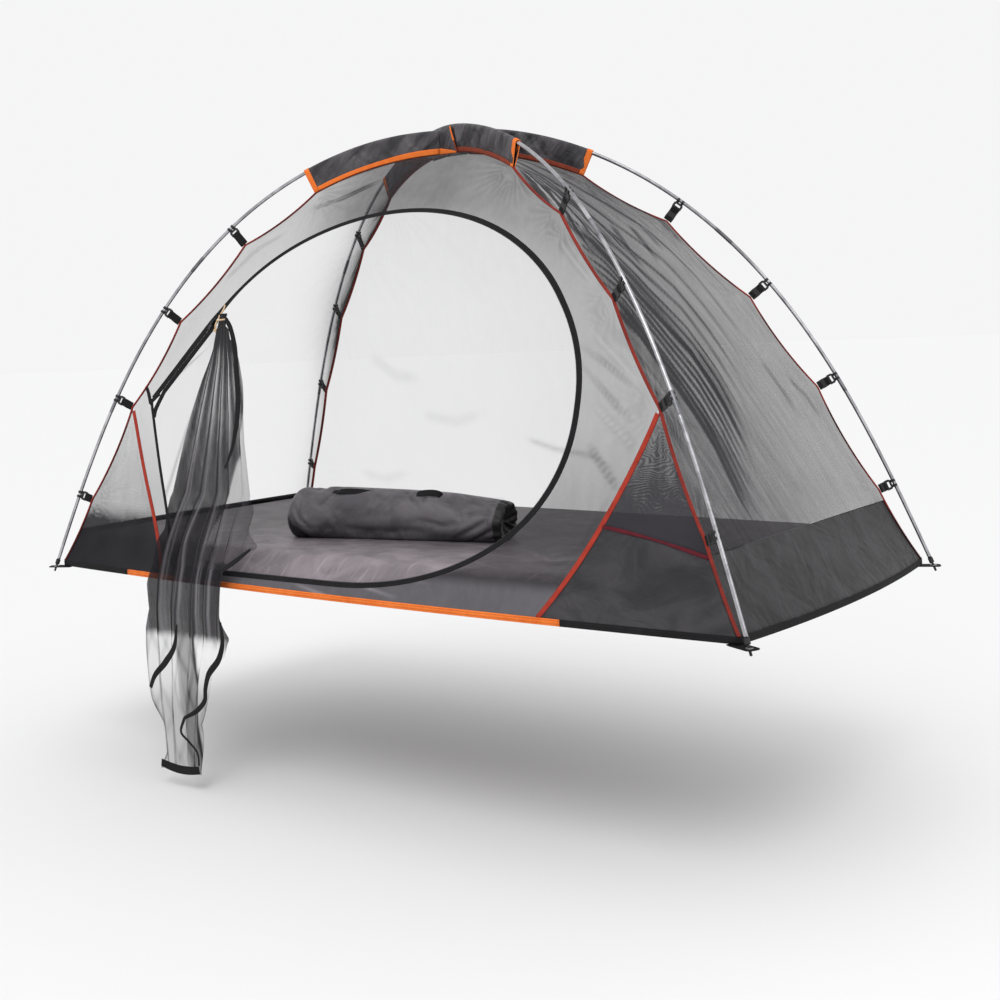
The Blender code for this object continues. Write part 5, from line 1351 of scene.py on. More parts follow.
def sleeveRing(arm, arc, out=0.0, foot=0.0):
    # from the ridge on one side, over the pole, to the ridge on the other
    bore = pole["diameter"] / 2 + sleeve["slack"] + sleeve["cloth"] + out
    top, side, outward = polePoint(arm, arc), acrossArm(arm), awayFrom(arm, poleAt(arc)[2])
    base = placeOn(arm, *ridgeAt(arc)) + outward * (ridge["tapeDepth"] / 2 + 0.0003 + foot)
    waist = (top - outward * bore * 1.6 + base) / 2
    half = sleeve["footHalf"] + out
    turns = np.radians(np.linspace(180, 0, 13))
    crown = [top + side * bore * math.cos(turn) + outward * bore * math.sin(turn) for turn in turns]
    flank, hip = np.linspace(0.0, 1.0, 7), np.linspace(0.0, 1.0, 6)[1:-1]
    kneeA, kneeB = waist - side * (half + bore) / 2, waist + side * (half + bore) / 2

    def run(start, end, shares):
        return [start + (end - start) * share for share in shares]

    rising = run(base - side * half, kneeA, flank) + run(kneeA, crown[0], hip)
    falling = run(crown[-1], kneeB, hip) + run(kneeB, base + side * half, flank)
    return np.array(rising + crown + falling), side


def sleeveRows(arm, arcs, seed):
    # the sleeve's rings, ruckled on both flanks
    rows = []
    for arc in arcs:
        row, side = sleeveRing(arm, arc)
        share = np.linspace(-1.0, 1.0, len(row))
        flank = np.sin(np.pi * np.minimum(1 - np.abs(share), 0.75) / 0.75)
        wave = np.sin(arc * 95 + seed + 4 * share) + 0.7 * np.sin(arc * 43 - 6 * share + 2 * seed)
        wave = wave + 0.6 * np.sin(arc * 160 + 9 * share * np.sin(arc * 20))
        fold = np.maximum(np.sin(arc * 105 + 7 * share + seed), 0.0) ** 4 * (1 - smoothStep(arc, 0.20, 0.30))
        push = sleeve["ruck"] * np.maximum(wave * 0.5 + 1.3 * fold, -0.25) * flank * smoothStep(arc, 0.02, 0.08)
        rows.append(row + np.sign(share)[:, None] * push[:, None] * side)
    return rows


def makeSleeves():
    def cover(name, rows, node, cut=None):
        mesh = gridMesh(name, rows)
        if cut:
            remade(mesh, cut, outward=False)
        addCloth(name, turnedTo(mesh, upwards), "sleeveCloth", (node,), "base_cloth", sleeve["shown"])

    end = ridge["sleeveReach"]
    arcs = np.linspace(sleeve["start"], end, sleeve["rows"])
    cover("sleeveFrontLeft", sleeveRows("front_left", arcs, 1.0), "sleeve_front_left")
    cover("sleeveBackRight", sleeveRows("back_right", arcs, 4.0), "sleeve_back_right")
    # over the crossing the cloth is cut away below the other pole
    limit = polePoint("front_left", 0.0)[2] + pole["diameter"] / 2 + 0.0003
    across = Vector((planX, -planY, 0.0))

    def cutAway(bm):
        middles = [(face, face.calc_center_median()) for face in bm.faces]
        gone = [face for face, spot in middles if abs(spot.dot(across)) < sleeve["crossingGap"] / 2 and spot.z < limit]
        bmesh.ops.delete(bm, geom=gone, context="FACES")

    arcs = np.linspace(0.0, end, sleeve["rows"])
    rows = [row[::-1] for row in sleeveRows("back_left", arcs[::-1], 2.0)] + sleeveRows("front_right", arcs[1:], 3.0)
    cover("sleeveOverPeak", rows, "sleeve_over_peak", cutAway)
    for arm in armSigns:
        arcs = np.linspace(end - sleeve["bindingLength"], end + 0.001, 5)
        mesh = gridMesh(f"sleeveBinding_{arm}", [sleeveRing(arm, arc, 0.0009, -0.001)[0] for arc in arcs])
        addCloth(mesh.name, turnedTo(mesh, upwards), "orangeTape", (), "hem", sleeve["bindingCloth"])
        stitch = []
        for back in (0.003, 0.009):
            ring = sleeveRing(arm, end - back, 0.0011, -0.001)[0]
            middle = ring.mean(axis=0)
            stitch.append([(p, (p - middle) / np.linalg.norm(p - middle)) for p in ring])
        makeRow(f"bindingStitches_{arm}", stitch, 0.0036, stitchSize, "orangeThread", slot="hem")
        makePiping(arm)
    makeCrossGore()


def makeCrossGore():
    # where the two sleeves are sewn together, on the door side, and its twin at the back
    def fromDoor(ring):
        far = [np.linalg.norm(ring[k] - np.array(view["place"])) for k in (0, -1)]
        return ring if far[0] < far[1] else ring[::-1]

    ring = fromDoor(sleeveRing("front_left", 0.012, 0.0012)[0])
    far = fromDoor(sleeveRing("front_right", 0.080, 0.0026)[0])[0]
    top = fromDoor(sleeveRing("front_right", 0.050, 0.0030)[0])[11]
    rows = []
    for down in np.linspace(0.0, 1.0, 16):
        left = onto(range(15), ring[:15], (1 - down) * 14)
        right = top + (far - top) * down
        away = np.array((0.35, -0.94, 0.0)) * 0.004 * math.sin(math.pi * down)
        sink = np.array((0.0, 0.0, -0.006 * max(down * 4 - 3, 0.0)))
        rows.append([left + (right - left) * share + away * share + sink for share in np.linspace(0.0, 1.0, 8)])
    mesh = turnedTo(gridMesh("crossGore", rows), doorSide)
    other = mesh.copy()
    other.transform(Matrix.Rotation(math.pi, 4, "Z"))
    for name, half in (("crossGore", mesh), ("crossGoreBack", other)):
        addCloth(name, half, "sleeveCloth", (), "base_cloth", sleeve["shown"])
    proud = np.array((0.0006, -0.0016, 0.0))
    band = np.array(rows[11:]) + proud
    taper = (np.arange(8) / 9)[:, None]
    band[:-1] = band[:-1] + (band[-1] - band[:-1]) * taper
    addCloth("crossBand", turnedTo(gridMesh("crossBand", band), doorSide), "orangeTape", (), "binding", 0.0006, 1.0)
    edge = np.array([row[-1] for row in rows])
    # the lower part of this piping is drawn darker brown: painted shade
    for name, first, last, look in (("crossPiping", 0, 10, "orangeTape"), ("crossPipingLow", 9, 16, "brownTape")):
        part = edge[first:last]
        line = onto(range(len(part)), part, np.linspace(0, len(part) - 1, 24)) + proud
        addPiece(name, tubeMesh(name, line, np.linspace(0.0016, 0.0024, 24), 8), look, "tent", (), "binding")


def makePiping(arm):
    # a folded band where the sleeve is sewn to the ridge, on both of its sides
    lower = arm == "front_left"
    arcs = np.linspace(0.014 if lower else 0.040, ridge["sleeveReach"] - sleeve["bindingLength"], 60)
    for label, order in (("Near", 1), ("Far", -1)):
        rows = []
        for arc in arcs:
            ring = sleeveRing(arm, arc, 0.0011, -0.0005)[0][::order]
            wide = sleeve["pipingRows"] + (sleeve["pipingWider"] * (1 - smoothStep(arc, 0.05, 0.20)) if lower else 0.0)
            step = (ring[6] - ring[0]) / 6
            rows.append([ring[0] + step * share * wide for share in np.linspace(-0.15, 1.0, 6)])
        name = f"piping{label}_{arm}"
        mesh = turnedTo(gridMesh(name, rows), Vector(acrossArm(arm) * -order))
        # the front left sleeve keeps orange piping, the others take the darker brown: painted shade
        addCloth(name, mesh, "orangeTape" if lower else "brownTape", (), "binding", sleeve["pipingCloth"], 1.0)


def makePeakPatch():
    out, up = ridgeAt(ridge["peakArc"])
    x, y = planX * out - 0.0016, planY * out - 0.0016
    steps = np.linspace(-1, 1, 14)
    grid = [[(x * i, y * j, up - 0.0002 + 0.002 * (1 - i * i) * (1 - j * j)) for i in steps] for j in steps]
    addCloth("peakPatch", gridMesh("peakPatch", grid), "baseCloth", ("peak_patch",), "base_cloth", wallShape["cloth"])


makeRidgeTapes()
makeSleeves()
makePeakPatch()
print("ridges and sleeves ready")


# Hem and floor
floorShape = {
    "cloth": 0.0015,
    "edgeDrop": 0.012,
    "inset": 0.034,
    "lean": 0.005,
    "rings": 42,
    "steps": 60,
    "ruck": 0.0022,
}


def aroundTent(i, steps, height, inset):
    side, t = divmod(i, steps)
    share = -1 + 2 * t / steps
    out = float(ridgeOut(height))
    x, y = planX * out, planY * out
    far, deep = float(endDepth(share * y, height)), float(sideDepth(share * x, height))
    px, py = ((share * x, -deep), (far, share * y), (-share * x, deep), (-far, -share * y))[side]
    return px * (x - inset) / x, py * (y - inset) / y


def makeHem():
    steps = hem["steps"]
    top = hem["top"] + hem["lap"]
    rings = []
    for i in range(4 * steps):
        inner = np.array(aroundTent(i, steps, hem["top"], hem["width"] * 0.75))
        outer = np.array(aroundTent(i, steps, hem["top"], -hem["width"] * 0.25))
        high = hem["height"] + hem["lap"]
        rings.append([(*(inner + (outer - inner) * (0.5 + 0.5 * c)), top - high * (0.5 - 0.5 * s))
                      for c, s in softOval(10, 0.5, 0.4)])
    rings = np.array(rings)
    # orange along the middle of the door side, black round the rest
    middles = rings.mean(axis=1)
    front = [i for i in range(4 * steps) if middles[i, 1] < 0 and -0.70 <= middles[i, 0] <= 0.60 and i < steps]
    rest = list(range(front[-1], 4 * steps)) + list(range(0, front[0] + 1))
    addPiece("hemOrange", loopedMesh("hemOrange", rings[front]), "orangeTape", "tent", ("hem_tape",), "hem")
    addPiece("hemDark", loopedMesh("hemDark", rings[rest]), "blackTape", "tent", (), "black_tape")
    stitches = []
    for drop in (0.003, 0.009):
        path = []
        for i in range(0, 4 * steps + 1):
            spot = aroundTent(i % (4 * steps), steps, hem["top"], -hem["width"] * 0.25 - 0.0002)
            turned = (0.3, 1.0) if abs(spot[1]) > 0.4 else (1.0, 0.3)
            way = np.array((spot[0] * turned[0], spot[1] * turned[1], 0.0))
            path.append(((spot[0], spot[1], top - drop), way / np.linalg.norm(way)))
        stitches.append(path)
    makeRow("hemStitches", stitches, 0.0046, (0.0030, 0.0007, 0.0006), "blackThread", slot="black_tape")


def floorRuck(x, y):
    # creases of a sheet laid on a mattress, deepest along the door side
    near = smoothStep(-y, 0.05, 0.33)
    along = np.sin(38 * y + 5 * np.sin(2.4 * x) + 2.2 * x) * np.sin(3.1 * x + 0.6)
    fan = np.sin(24 * (x + 0.2) + 30 * (y + 0.36) ** 2 * 6 + 2 * np.sin(9 * y)) * smoothStep(-y, 0.15, 0.36)
    small = np.sin(61 * x + 20 * y) * np.sin(47 * y - 18 * x)
    return near * along * 0.6 + fan * 0.5 + small * 0.12


def makeFloor():
    steps, count = floorShape["steps"], floorShape["rings"]
    outer = wallShape["cloth"] + wallShape["seamGap"] * 3
    top = floorShape["cloth"]
    levels = [
        (floorShape["inset"], top),
        (floorShape["inset"] * 0.80, top - floorShape["edgeDrop"] * 0.06),
        (floorShape["inset"] * 0.62, top - floorShape["edgeDrop"] * 0.2),
        (floorShape["inset"] * 0.50, top - floorShape["edgeDrop"] * 0.5),
        (floorShape["inset"] * 0.40, top - floorShape["edgeDrop"]),
        (outer + floorShape["lean"], hem["top"] / 2),
        (outer + floorShape["lean"] / 2, hem["top"] * 0.75),
        (outer, wallFoot + 0.0003),
    ]
    edge = np.array([aroundTent(i, steps, top, floorShape["inset"]) for i in range(4 * steps)])
    rows = []
    for share in np.linspace(0.004, 1.0, count)[:-1]:
        x, y = edge[:, 0] * share, edge[:, 1] * share
        fade = 1 - smoothStep(np.full(len(x), share), 0.9, 1.0)
        lift = floorShape["ruck"] * np.maximum(floorRuck(x, y), -0.45) * fade
        near = np.hypot((x + 0.04) / 0.36, (y + 0.15) / 0.14)
        lift = lift * smoothStep(near, 0.9, 1.3)
        rows.append(np.stack([x, y, top + 0.0001 + np.maximum(lift, -0.0010)], axis=-1))
    for inset, height in levels:
        rows.append([(*aroundTent(i, steps, height, inset), height) for i in range(4 * steps)])
    rows = np.array(rows)
    uv = np.concatenate([rows[:, :, :2], rows[:, :1, :2]], axis=1)
    # painted sheen: the floor lighter towards the door side, where light falls on it
    front = smoothStep(-rows[:, :, 1], 0.02, 0.36) * (0.85 + 0.15 * np.sin(3 * rows[:, :, 0]))
    mesh = gridMesh("floorSheet", rows, closed=True, uv=uv, paintedLightAndTone=front)
    remade(mesh, lambda bm: bm.faces.new([bm.verts[i] for i in range(4 * steps)]))
    addCloth("floorSheet", turnedTo(mesh, upwards), "floorCloth", ("floor_sheet",), "base_cloth", floorShape["cloth"])


makeHem()
makeFloor()
print("hem and floor ready")


# The door: its zipped tape, the net drawn to the tie, and the part that hangs
def makeDoorTape():
    centre = shifted(zipPath(3), -(door["tapeDone"] + door["coilGap"] + door["doorTapeHalf"]))
    low = door["hingeTop"][1] - door["zipStopDrop"]
    first = (hingeX(low) + door["hingeHalf"] + door["doorTapeHalf"] * 0.4, low + 0.010)
    run = onto(lengthsOf(zipPath(3)), centre, np.linspace(door["zipStop"], door["doorTapeEnd"], 30))
    points = pathPart([(hingeX(low - 0.008) + 0.002, low - 0.008), first, *map(tuple, run)], 0.0, 0.0, 60)
    ribbon("doorTape", points, door["doorTapeHalf"] + 0.001, door["tapeCloth"], "blackTape", "door_zip_tape",
           "black_tape", out=0.0006)
    rows = [onFront(shifted(points, side * 0.0036), 0.0010) for side in (-1, 1)]
    makeRow("doorTapeStitches", rows, 0.0038, stitchSize, "blackThread", slot="black_tape")
    return shifted(points, -(door["doorTapeHalf"] + 0.0006))


web = {"rows": 70, "columns": 60, "lift": 0.0022, "rays": 26}


def makeWeb(topEdge):
    low, high = door["hingeFoot"][1] + 0.012, topEdge[0][1] - 0.004
    endX, endZ = door["webEnd"]
    share = np.linspace(0.0, 1.0, web["rows"])[:, None]
    j = np.linspace(0.0, 1.0, web["columns"])[None, :]
    height = low + (high - low) * share
    startX = hingeX(height) + door["hingeHalf"] + 0.0004
    x = startX + (endX - 0.002 + 0.006 * share - startX) * j
    z = height + (endZ - 0.024 * (1 - share) - height) * j
    spans = lengthsOf(topEdge)
    topX, topZ = onto(spans, topEdge, spans[-1] * (0.005 + 0.985 * j[0])).T
    fill = np.linspace(0.0, 1.0, 16)[1:, None]
    x = np.vstack([x, x[-1] + (topX - x[-1]) * fill])
    z = np.vstack([z, z[-1] + (topZ - z[-1]) * fill])
    angle = np.arctan2(z - endZ + 0.01, x - endX - 0.01)
    far = np.hypot(x - endX, z - endZ)
    inner = smoothStep(j, 0.0, 0.12) * smoothStep(1 - j, 0.0, 0.12)
    border = smoothStep(np.linspace(1.0, 0.0, len(x))[:, None], 0.0, 0.06)
    ray = np.cos(angle * web["rays"] + 2.0 * np.sin(3 * angle))
    lift = web["lift"] * ray * inner * border * smoothStep(far, 0.02, 0.15)
    line = np.maximum(np.cos(angle * web["rays"] * 0.62 + 2.6 * np.sin(4.1 * angle) + 1.2), 0.0) ** 22
    dense = 1.0 + 3.0 * line * smoothStep(far, 0.0, 0.10) + 1.4 * np.exp(-far / 0.03)
    grid = frontPoints(x, z, lift - wallShape["cloth"] / 2)
    mesh = gridMesh("doorWeb", grid, dense=dense, uv=np.stack([x, z], axis=-1))
    addPiece("doorWeb", turnedTo(mesh, doorSide), "webNet", "tent", ("door_web",), "net")


drape = {
    "outline": (
        (0.542, -0.488, -0.460, 0.0060), (0.528, -0.485, -0.463, 0.0050), (0.514, -0.487, -0.456, 0.0060),
        (0.476, -0.490, -0.426, 0.0090), (0.430, -0.497, -0.396, 0.0110), (0.380, -0.507, -0.374, 0.0130),
        (0.300, -0.522, -0.346, 0.0150), (0.240, -0.532, -0.328, 0.0170), (0.110, -0.5483, -0.2857, 0.0190),
        (0.040, -0.5373, -0.2349, 0.0190), (0.014, -0.5420, -0.2165, 0.0190), (-0.010, -0.5400, -0.2542, 0.0190),
        (-0.040, -0.5381, -0.2895, 0.0180), (-0.085, -0.5436, -0.2919, 0.0180), (-0.142, -0.5400, -0.2899, 0.0180),
        (-0.190, -0.548, -0.276, 0.0180), (-0.232, -0.5495, -0.292, 0.0180), (-0.281, -0.5505, -0.334, 0.0170),
        (-0.313, -0.550, -0.350, 0.0170), (-0.357, -0.543, -0.368, 0.0165), (-0.400, -0.529, -0.384, 0.0160),
        (-0.440, -0.516, -0.384, 0.0150), (-0.480, -0.517, -0.386, 0.0145), (-0.522, -0.5265, -0.390, 0.0140),
    ),
    "folds": 5,
    "cloth": 0.0014,
    "standOff": 0.004,
    "neckStandOff": 0.005,
    "hangY": -0.496,
    "leaves": 0.120,
    "free": -0.140,
    "rows": 150,
    "columns": 170,
    "flow": ((0.542, -0.488, -0.460), (0.43, -0.500, -0.405), (0.30, -0.520, -0.350), (0.11, -0.545, -0.292),
             (-0.05, -0.545, -0.280), (-0.20, -0.550, -0.290), (-0.35, -0.545, -0.345), (-0.522, -0.5265, -0.388)),
    # above this height the drape is drawn much denser: painted shade
    "sheerBelow": -0.197,
    "sheer": 0.34,
    "singleEdge": ((-0.5476, -0.44), (-0.4136, -0.375), (-0.3370, -0.352), (-0.2751, -0.343), (-0.2224, -0.347),
                   (-0.10, -0.366), (0.02, -0.385)),  # beyond this line the net lies single
    "tapeCloth": 0.0012,
}
drapeOutline = np.array(drape["outline"])
drapeFlow = np.array(drape["flow"])


def drapeEdges(height):
    return [np.interp(-height, -drapeOutline[:, 0], drapeOutline[:, k]) for k in (1, 2, 3)]


def drapeRest(height):
    # follows the sloping wall down to the hem, then hangs straight
    lift = drape["standOff"] + drape["neckStandOff"] * np.clip((height - 0.42) / 0.08, 0.0, 1.0)
    wall = -sideDepth(-0.42, np.maximum(height, hem["top"])) - lift
    share = np.clip((drape["leaves"] - height) / (drape["leaves"] - drape["free"]), 0.0, 1.0)
    return wall + (drape["hangY"] - wall) * share


def drapeShape(share, height):
    left, right, depth = drapeEdges(height)
    flowLeft, flowRight = [np.interp(-height, -drapeFlow[:, 0], drapeFlow[:, k]) for k in (1, 2)]
    drawn = (left + (right - left) * share - flowLeft) / (flowRight - flowLeft)
    wander = 0.05 * np.sin(2 * np.pi * share * 1.5 + 3.0 * height) * np.sin(np.pi * share)
    phase = 2 * np.pi * drape["folds"] * (drawn + wander * 0.6) + 0.5 * np.sin(1.7 * height)
    ripple = (0.5 + 0.5 * np.cos(phase)) ** 1.25 * (0.72 + 0.28 * np.cos(5 * share + 2 * height))
    small = 0.10 * np.sin(2.6 * phase + 6 * height) * np.sin(np.pi * share)
    sway = 0.12 * (right - left) / drape["folds"] * np.sin(phase)
    x = left + (right - left) * share + sway
    y = drapeRest(height) - drape["cloth"] - depth * np.clip(ripple + small, -0.04, 1.0)
    return x, y, phase


def makeDrape():
    heights = np.concatenate([np.linspace(0.542, 0.44, 30), np.linspace(0.437, -0.522, drape["rows"])])
    share = np.linspace(0.0, 1.0, drape["columns"])[None, :]
    h = np.repeat(heights[:, None], drape["columns"], axis=1)
    x, y, phase = drapeShape(share, h)
    tight = smoothStep(h, 0.35, 0.52)
    # painted shade: above sheerBelow the net is drawn much denser and so darker, for the shade behind it there; below
    # that line it hangs sheer
    above = smoothStep(h, drape["sheerBelow"] - 0.012, drape["sheerBelow"] + 0.012)
    below = 1 - above
    zone = drape["sheer"] + (1 - drape["sheer"]) * above
    edge = np.interp(-h, *zip(*drape["singleEdge"]))
    single = smoothStep(x, edge, edge + 0.006) * smoothStep(h, -0.030, -0.020) * (1 - smoothStep(h, 0.42, 0.46))
    lines = np.maximum(np.cos(phase + np.pi * 0.9), 0.0) ** 6
    second = np.maximum(np.cos(phase * 2.0 + 0.8 + 2.0 * h), 0.0) ** 8
    upper = smoothStep(h, 0.10, 0.42)
    body = 1.02 - 0.52 * upper * (1 - smoothStep(h, 0.44, 0.50)) * (0.5 + 0.5 * np.cos(phase * 2 + 1.0))
    dense = zone * (body + 0.30 * lines + 0.20 * second) + 0.3 * tight
    first = -0.446 + 0.10 * np.maximum(-0.36 - h, 0.0)
    column = smoothStep(x, first, first + 0.006) * (1 - smoothStep(x, -0.392, -0.386))
    edgeLine = np.exp(-(((x + 0.392) / 0.0035) ** 2)) + 0.7 * np.exp(-(((x - first) / 0.003) ** 2))
    rims = np.exp(-((share / 0.014) ** 2)) + np.exp(-(((1 - share) / 0.014) ** 2))
    strands = np.maximum(np.sin(150 * (x + 0.25 * (h + 0.2))), 0.0) ** 4
    strands = strands + np.maximum(np.sin(120 * (x - 0.30 * (h + 0.3))), 0.0) ** 6
    dense = dense + below * (0.50 * column + 0.45 * edgeLine + 0.55 * rims + 0.16 * strands - 0.16)
    bare = smoothStep(x, -0.386, -0.380) * smoothStep(-h, 0.20, 0.23) * (1 - smoothStep(-h, 0.30, 0.36))
    dense = dense * (1 - 0.75 * bare * below) * (1 - 0.52 * single)
    # painted highlights along the fold crests, fainter where the net is pulled tight and low down
    crest = np.maximum(np.cos(phase + 0.5 * np.sin(7 * h)), 0.0) ** 26
    crest = crest + 0.6 * np.maximum(np.cos(phase * 1.5 + 1.9 + np.sin(5 * h)), 0.0) ** 34
    paintedLightAndTone = 0.42 * crest * (0.45 + 0.55 * np.sin(6 * h + 3 * share) ** 2) * (1 - tight) * (1 - below * 0.6)
    grid = np.stack([x, y, h], axis=-1)
    mesh = gridMesh("doorDrape", grid, dense=dense, paintedLightAndTone=paintedLightAndTone)
    addPiece("doorDrape", turnedTo(mesh, doorSide), "drapeNet", "door", ("door_drape",), "net")


def drapeTape(name, path, wide, steps=60, out=0.0012):
    # the door's edge tape where it crosses the folds
    path = np.array(path, float)
    spans = lengthsOf(path)
    at = np.linspace(0.0, spans[-1], steps)
    line = list(zip(*(curveThrough(spans, path[:, k], at) for k in (0, 1))))
    halves = np.interp(at / spans[-1], np.linspace(0, 1, len(wide)), wide) / 2
    x, z, _, uv = stripAlong(line, halves, 6, at)
    proud = drapeEdges(z)[2] * (0.93 + 0.05 * np.sin(40 * (x + z))) + out
    mesh = gridMesh(name, np.stack([x, drapeRest(z) - drape["cloth"] - proud, z], axis=-1), uv=uv)
    piece = addPiece(name, turnedTo(mesh, doorSide), "blackTape", "door", (), "black_tape")
    thicken(piece, drape["tapeCloth"])


def curveThrough(spans, values, at):
    # a smooth line through points, one coordinate at a time
    slopes = np.gradient(values, spans)
    index = np.clip(np.searchsorted(spans, at, side="right") - 1, 0, len(spans) - 2)
    width = spans[index + 1] - spans[index]
    t = (at - spans[index]) / width
    a, b = values[index], values[index + 1]
    m, n = slopes[index] * width, slopes[index + 1] * width
    first = (2 * t ** 3 - 3 * t ** 2 + 1) * a + (t ** 3 - 2 * t ** 2 + t) * m
    return first + (3 * t ** 2 - 2 * t ** 3) * b + (t ** 3 - t ** 2) * n


# x and height along each tape, its widths from start to end, steps
drapeTapes = {
    "drapeTapeUpper": (
        ((-0.466, 0.534), (-0.436, 0.509), (-0.410, 0.470), (-0.389, 0.4136), (-0.3651, 0.337), (-0.3564, 0.2751),
         (-0.3604, 0.2224), (-0.3771, 0.1808)), (0.010, 0.014, 0.016, 0.014, 0.005), 60),
    "drapeTapeCorner": (((-0.2190, 0.012), (-0.2555, -0.0154), (-0.2975, -0.040)), (0.006, 0.012, 0.010), 24),
    "drapeTapeRight": (
        ((-0.2834, -0.150), (-0.2800, -0.1893), (-0.2950, -0.2324), (-0.3380, -0.2814), (-0.3500, -0.313),
         (-0.3530, -0.3359), (-0.3720, -0.3574), (-0.4303, -0.3894)), (0.006, 0.014, 0.016, 0.012, 0.012, 0.008), 60),
    "drapeTapeThin": (
        ((-0.4303, -0.3894), (-0.4439, -0.4244), (-0.4174, -0.444), (-0.3900, -0.4684), (-0.3880, -0.4951)),
        (0.008, 0.006, 0.005, 0.005), 40),
    "drapeTapeLeft": (
        ((-0.4339, -0.170), (-0.4517, -0.2276), (-0.4834, -0.2641), (-0.5305, -0.3053), (-0.5438, -0.3309)),
        (0.004, 0.012, 0.016, 0.014, 0.010), 50),
    "drapeTapeFoot": (
        ((-0.5225, -0.508), (-0.490, -0.5130), (-0.460, -0.5150), (-0.425, -0.5125), (-0.388, -0.506)),
        (0.018, 0.020, 0.020, 0.018), 50),
}
tie = {
    "cord": 0.004,
    "snug": 0.0006,
    "bend": 0.0086,
    "easing": 12,
    "root": (-0.488, 0.563),
    "height": 0.528,
    "knot": 0.0048,
}


def makeTie():
    x, y, _ = drapeShape(np.linspace(0.0, 1.0, 31), np.full(31, tie["height"]))
    low, high = np.array((x.min(), y.min())), np.array((x.max(), y.max()))
    centre = (low + high) / 2
    room = (drape["cloth"] + tie["cord"]) / 2
    straight = max((high[0] - low[0]) / 2 + room + tie["snug"] - tie["bend"], 0.001)
    rootX, rootZ = tie["root"]
    points = [frontPoints(rootX, rootZ - drop, tie["cord"] / 2 + 0.0003) for drop in (0.0, 0.009)]
    # once round the gathered net, then the two ends hang from a knot
    turns = np.radians(np.linspace(150, -170, 26))
    for turn in turns:
        side = math.copysign(straight * min(abs(math.cos(turn)) * 2.2, 1.0), math.cos(turn))
        points.append(np.array((centre[0] + side + tie["bend"] * math.cos(turn),
                                centre[1] + tie["bend"] * math.sin(turn),
                                tie["height"] + 0.002 * math.sin(turn * 0.5))))
    last = points[-1]
    points += [last + np.array((-0.0035, -0.0030, -0.006)), last + np.array((-0.0055, -0.0040, -0.014)),
               last + np.array((-0.0040, -0.0044, -0.024))]
    spans = lengthsOf(points)
    at = np.linspace(0.0, spans[-1], 110)
    line = np.array([curveThrough(spans, np.array(points)[:, k], at) for k in range(3)]).T
    for _ in range(tie["easing"]):  # takes the kinks out
        line[1:-1] = (line[:-2] + 2 * line[1:-1] + line[2:]) / 4
    mesh = tubeMesh("doorTie", line, tie["cord"] / 2)
    addPiece("doorTie", mesh, "beigeCord", "tent", ("door_tie",), "cord")
    # an overhand knot at its end
    turns = np.linspace(0.0, 2 * math.pi, 61)[:-1]
    centre = line[-1]
    loops = [centre + tie["knot"] * 0.34 * np.array((math.sin(t) + 2 * math.sin(2 * t), 1.5 * math.sin(3 * t),
                                                     math.cos(t) - 2 * math.cos(2 * t))) for t in turns]
    knot = tubeMesh("tieKnot", loops, tie["cord"] * 0.42, 8, loop=True)
    return line, addPiece("tieKnot", knot, "beigeCord", "tent", (), "cord")


makeWeb(makeDoorTape())
makeDrape()
for name, row in drapeTapes.items():
    drapeTape(name, *row)
tieLine, tieKnot = makeTie()
print("door ready")


# Zip coil, one row of turns along each tape's edge
coil = {"spacing": 0.0030, "size": (0.0021, 0.0024, 0.0016), "sink": 0.0002}


def makeCoil():
    path = zipPath(3)
    halves = tapeHalves(path)
    lengths = lengthsOf(path)
    rows = []
    for side in (0.10, 0.90):
        line = shifted(path, [-(half + door["coilGap"] * side) for half in halves])
        start = 0.045 if side > 0.5 else 0.020
        end = door["doorTapeEnd"] if side > 0.5 else lengths[-1] - 0.02
        rows.append(onFront(pathPart(line, start + 0.0015 * side, end, int((end - start) / 0.01)), -coil["sink"]))
    makeRow("zipCoil", rows, coil["spacing"], coil["size"], "coilNylon", wobble=0.05, slot="black_tape")


makeCoil()
print("zip coil ready")


# Carry bag: a soft tube closed by a gathered end
bag = {
    "centre": (-0.057, -0.153, 0.0018),
    "yaw": 13.5,
    "length": 0.58,
    "shownLength": 0.566,
    "sag": 0.13,
    "radius": 0.062,
    "axisHeight": 0.050,
    "stations": 130,
    "sides": 72,
    "capRings": 12,
    "seamAt": 0.095,
    "pressure": 2.0,
    "slackCloth": -0.035,
    "frames": 20,
    "cap": 0.008,
    "handles": (("left", -0.105, 0.084, 0.005, 30.0, 0.004), ("right", 0.088, 0.064, 0.013, 34.0, 0.012)),
    "handleWidth": 0.016,
    "handleTip": 20.0,
    "fill": 0.8,
    "handleCloth": 0.0022,
}
bagTurn = Matrix.Translation(bag["centre"]) @ Matrix.Rotation(math.radians(bag["yaw"]), 4, "Z")
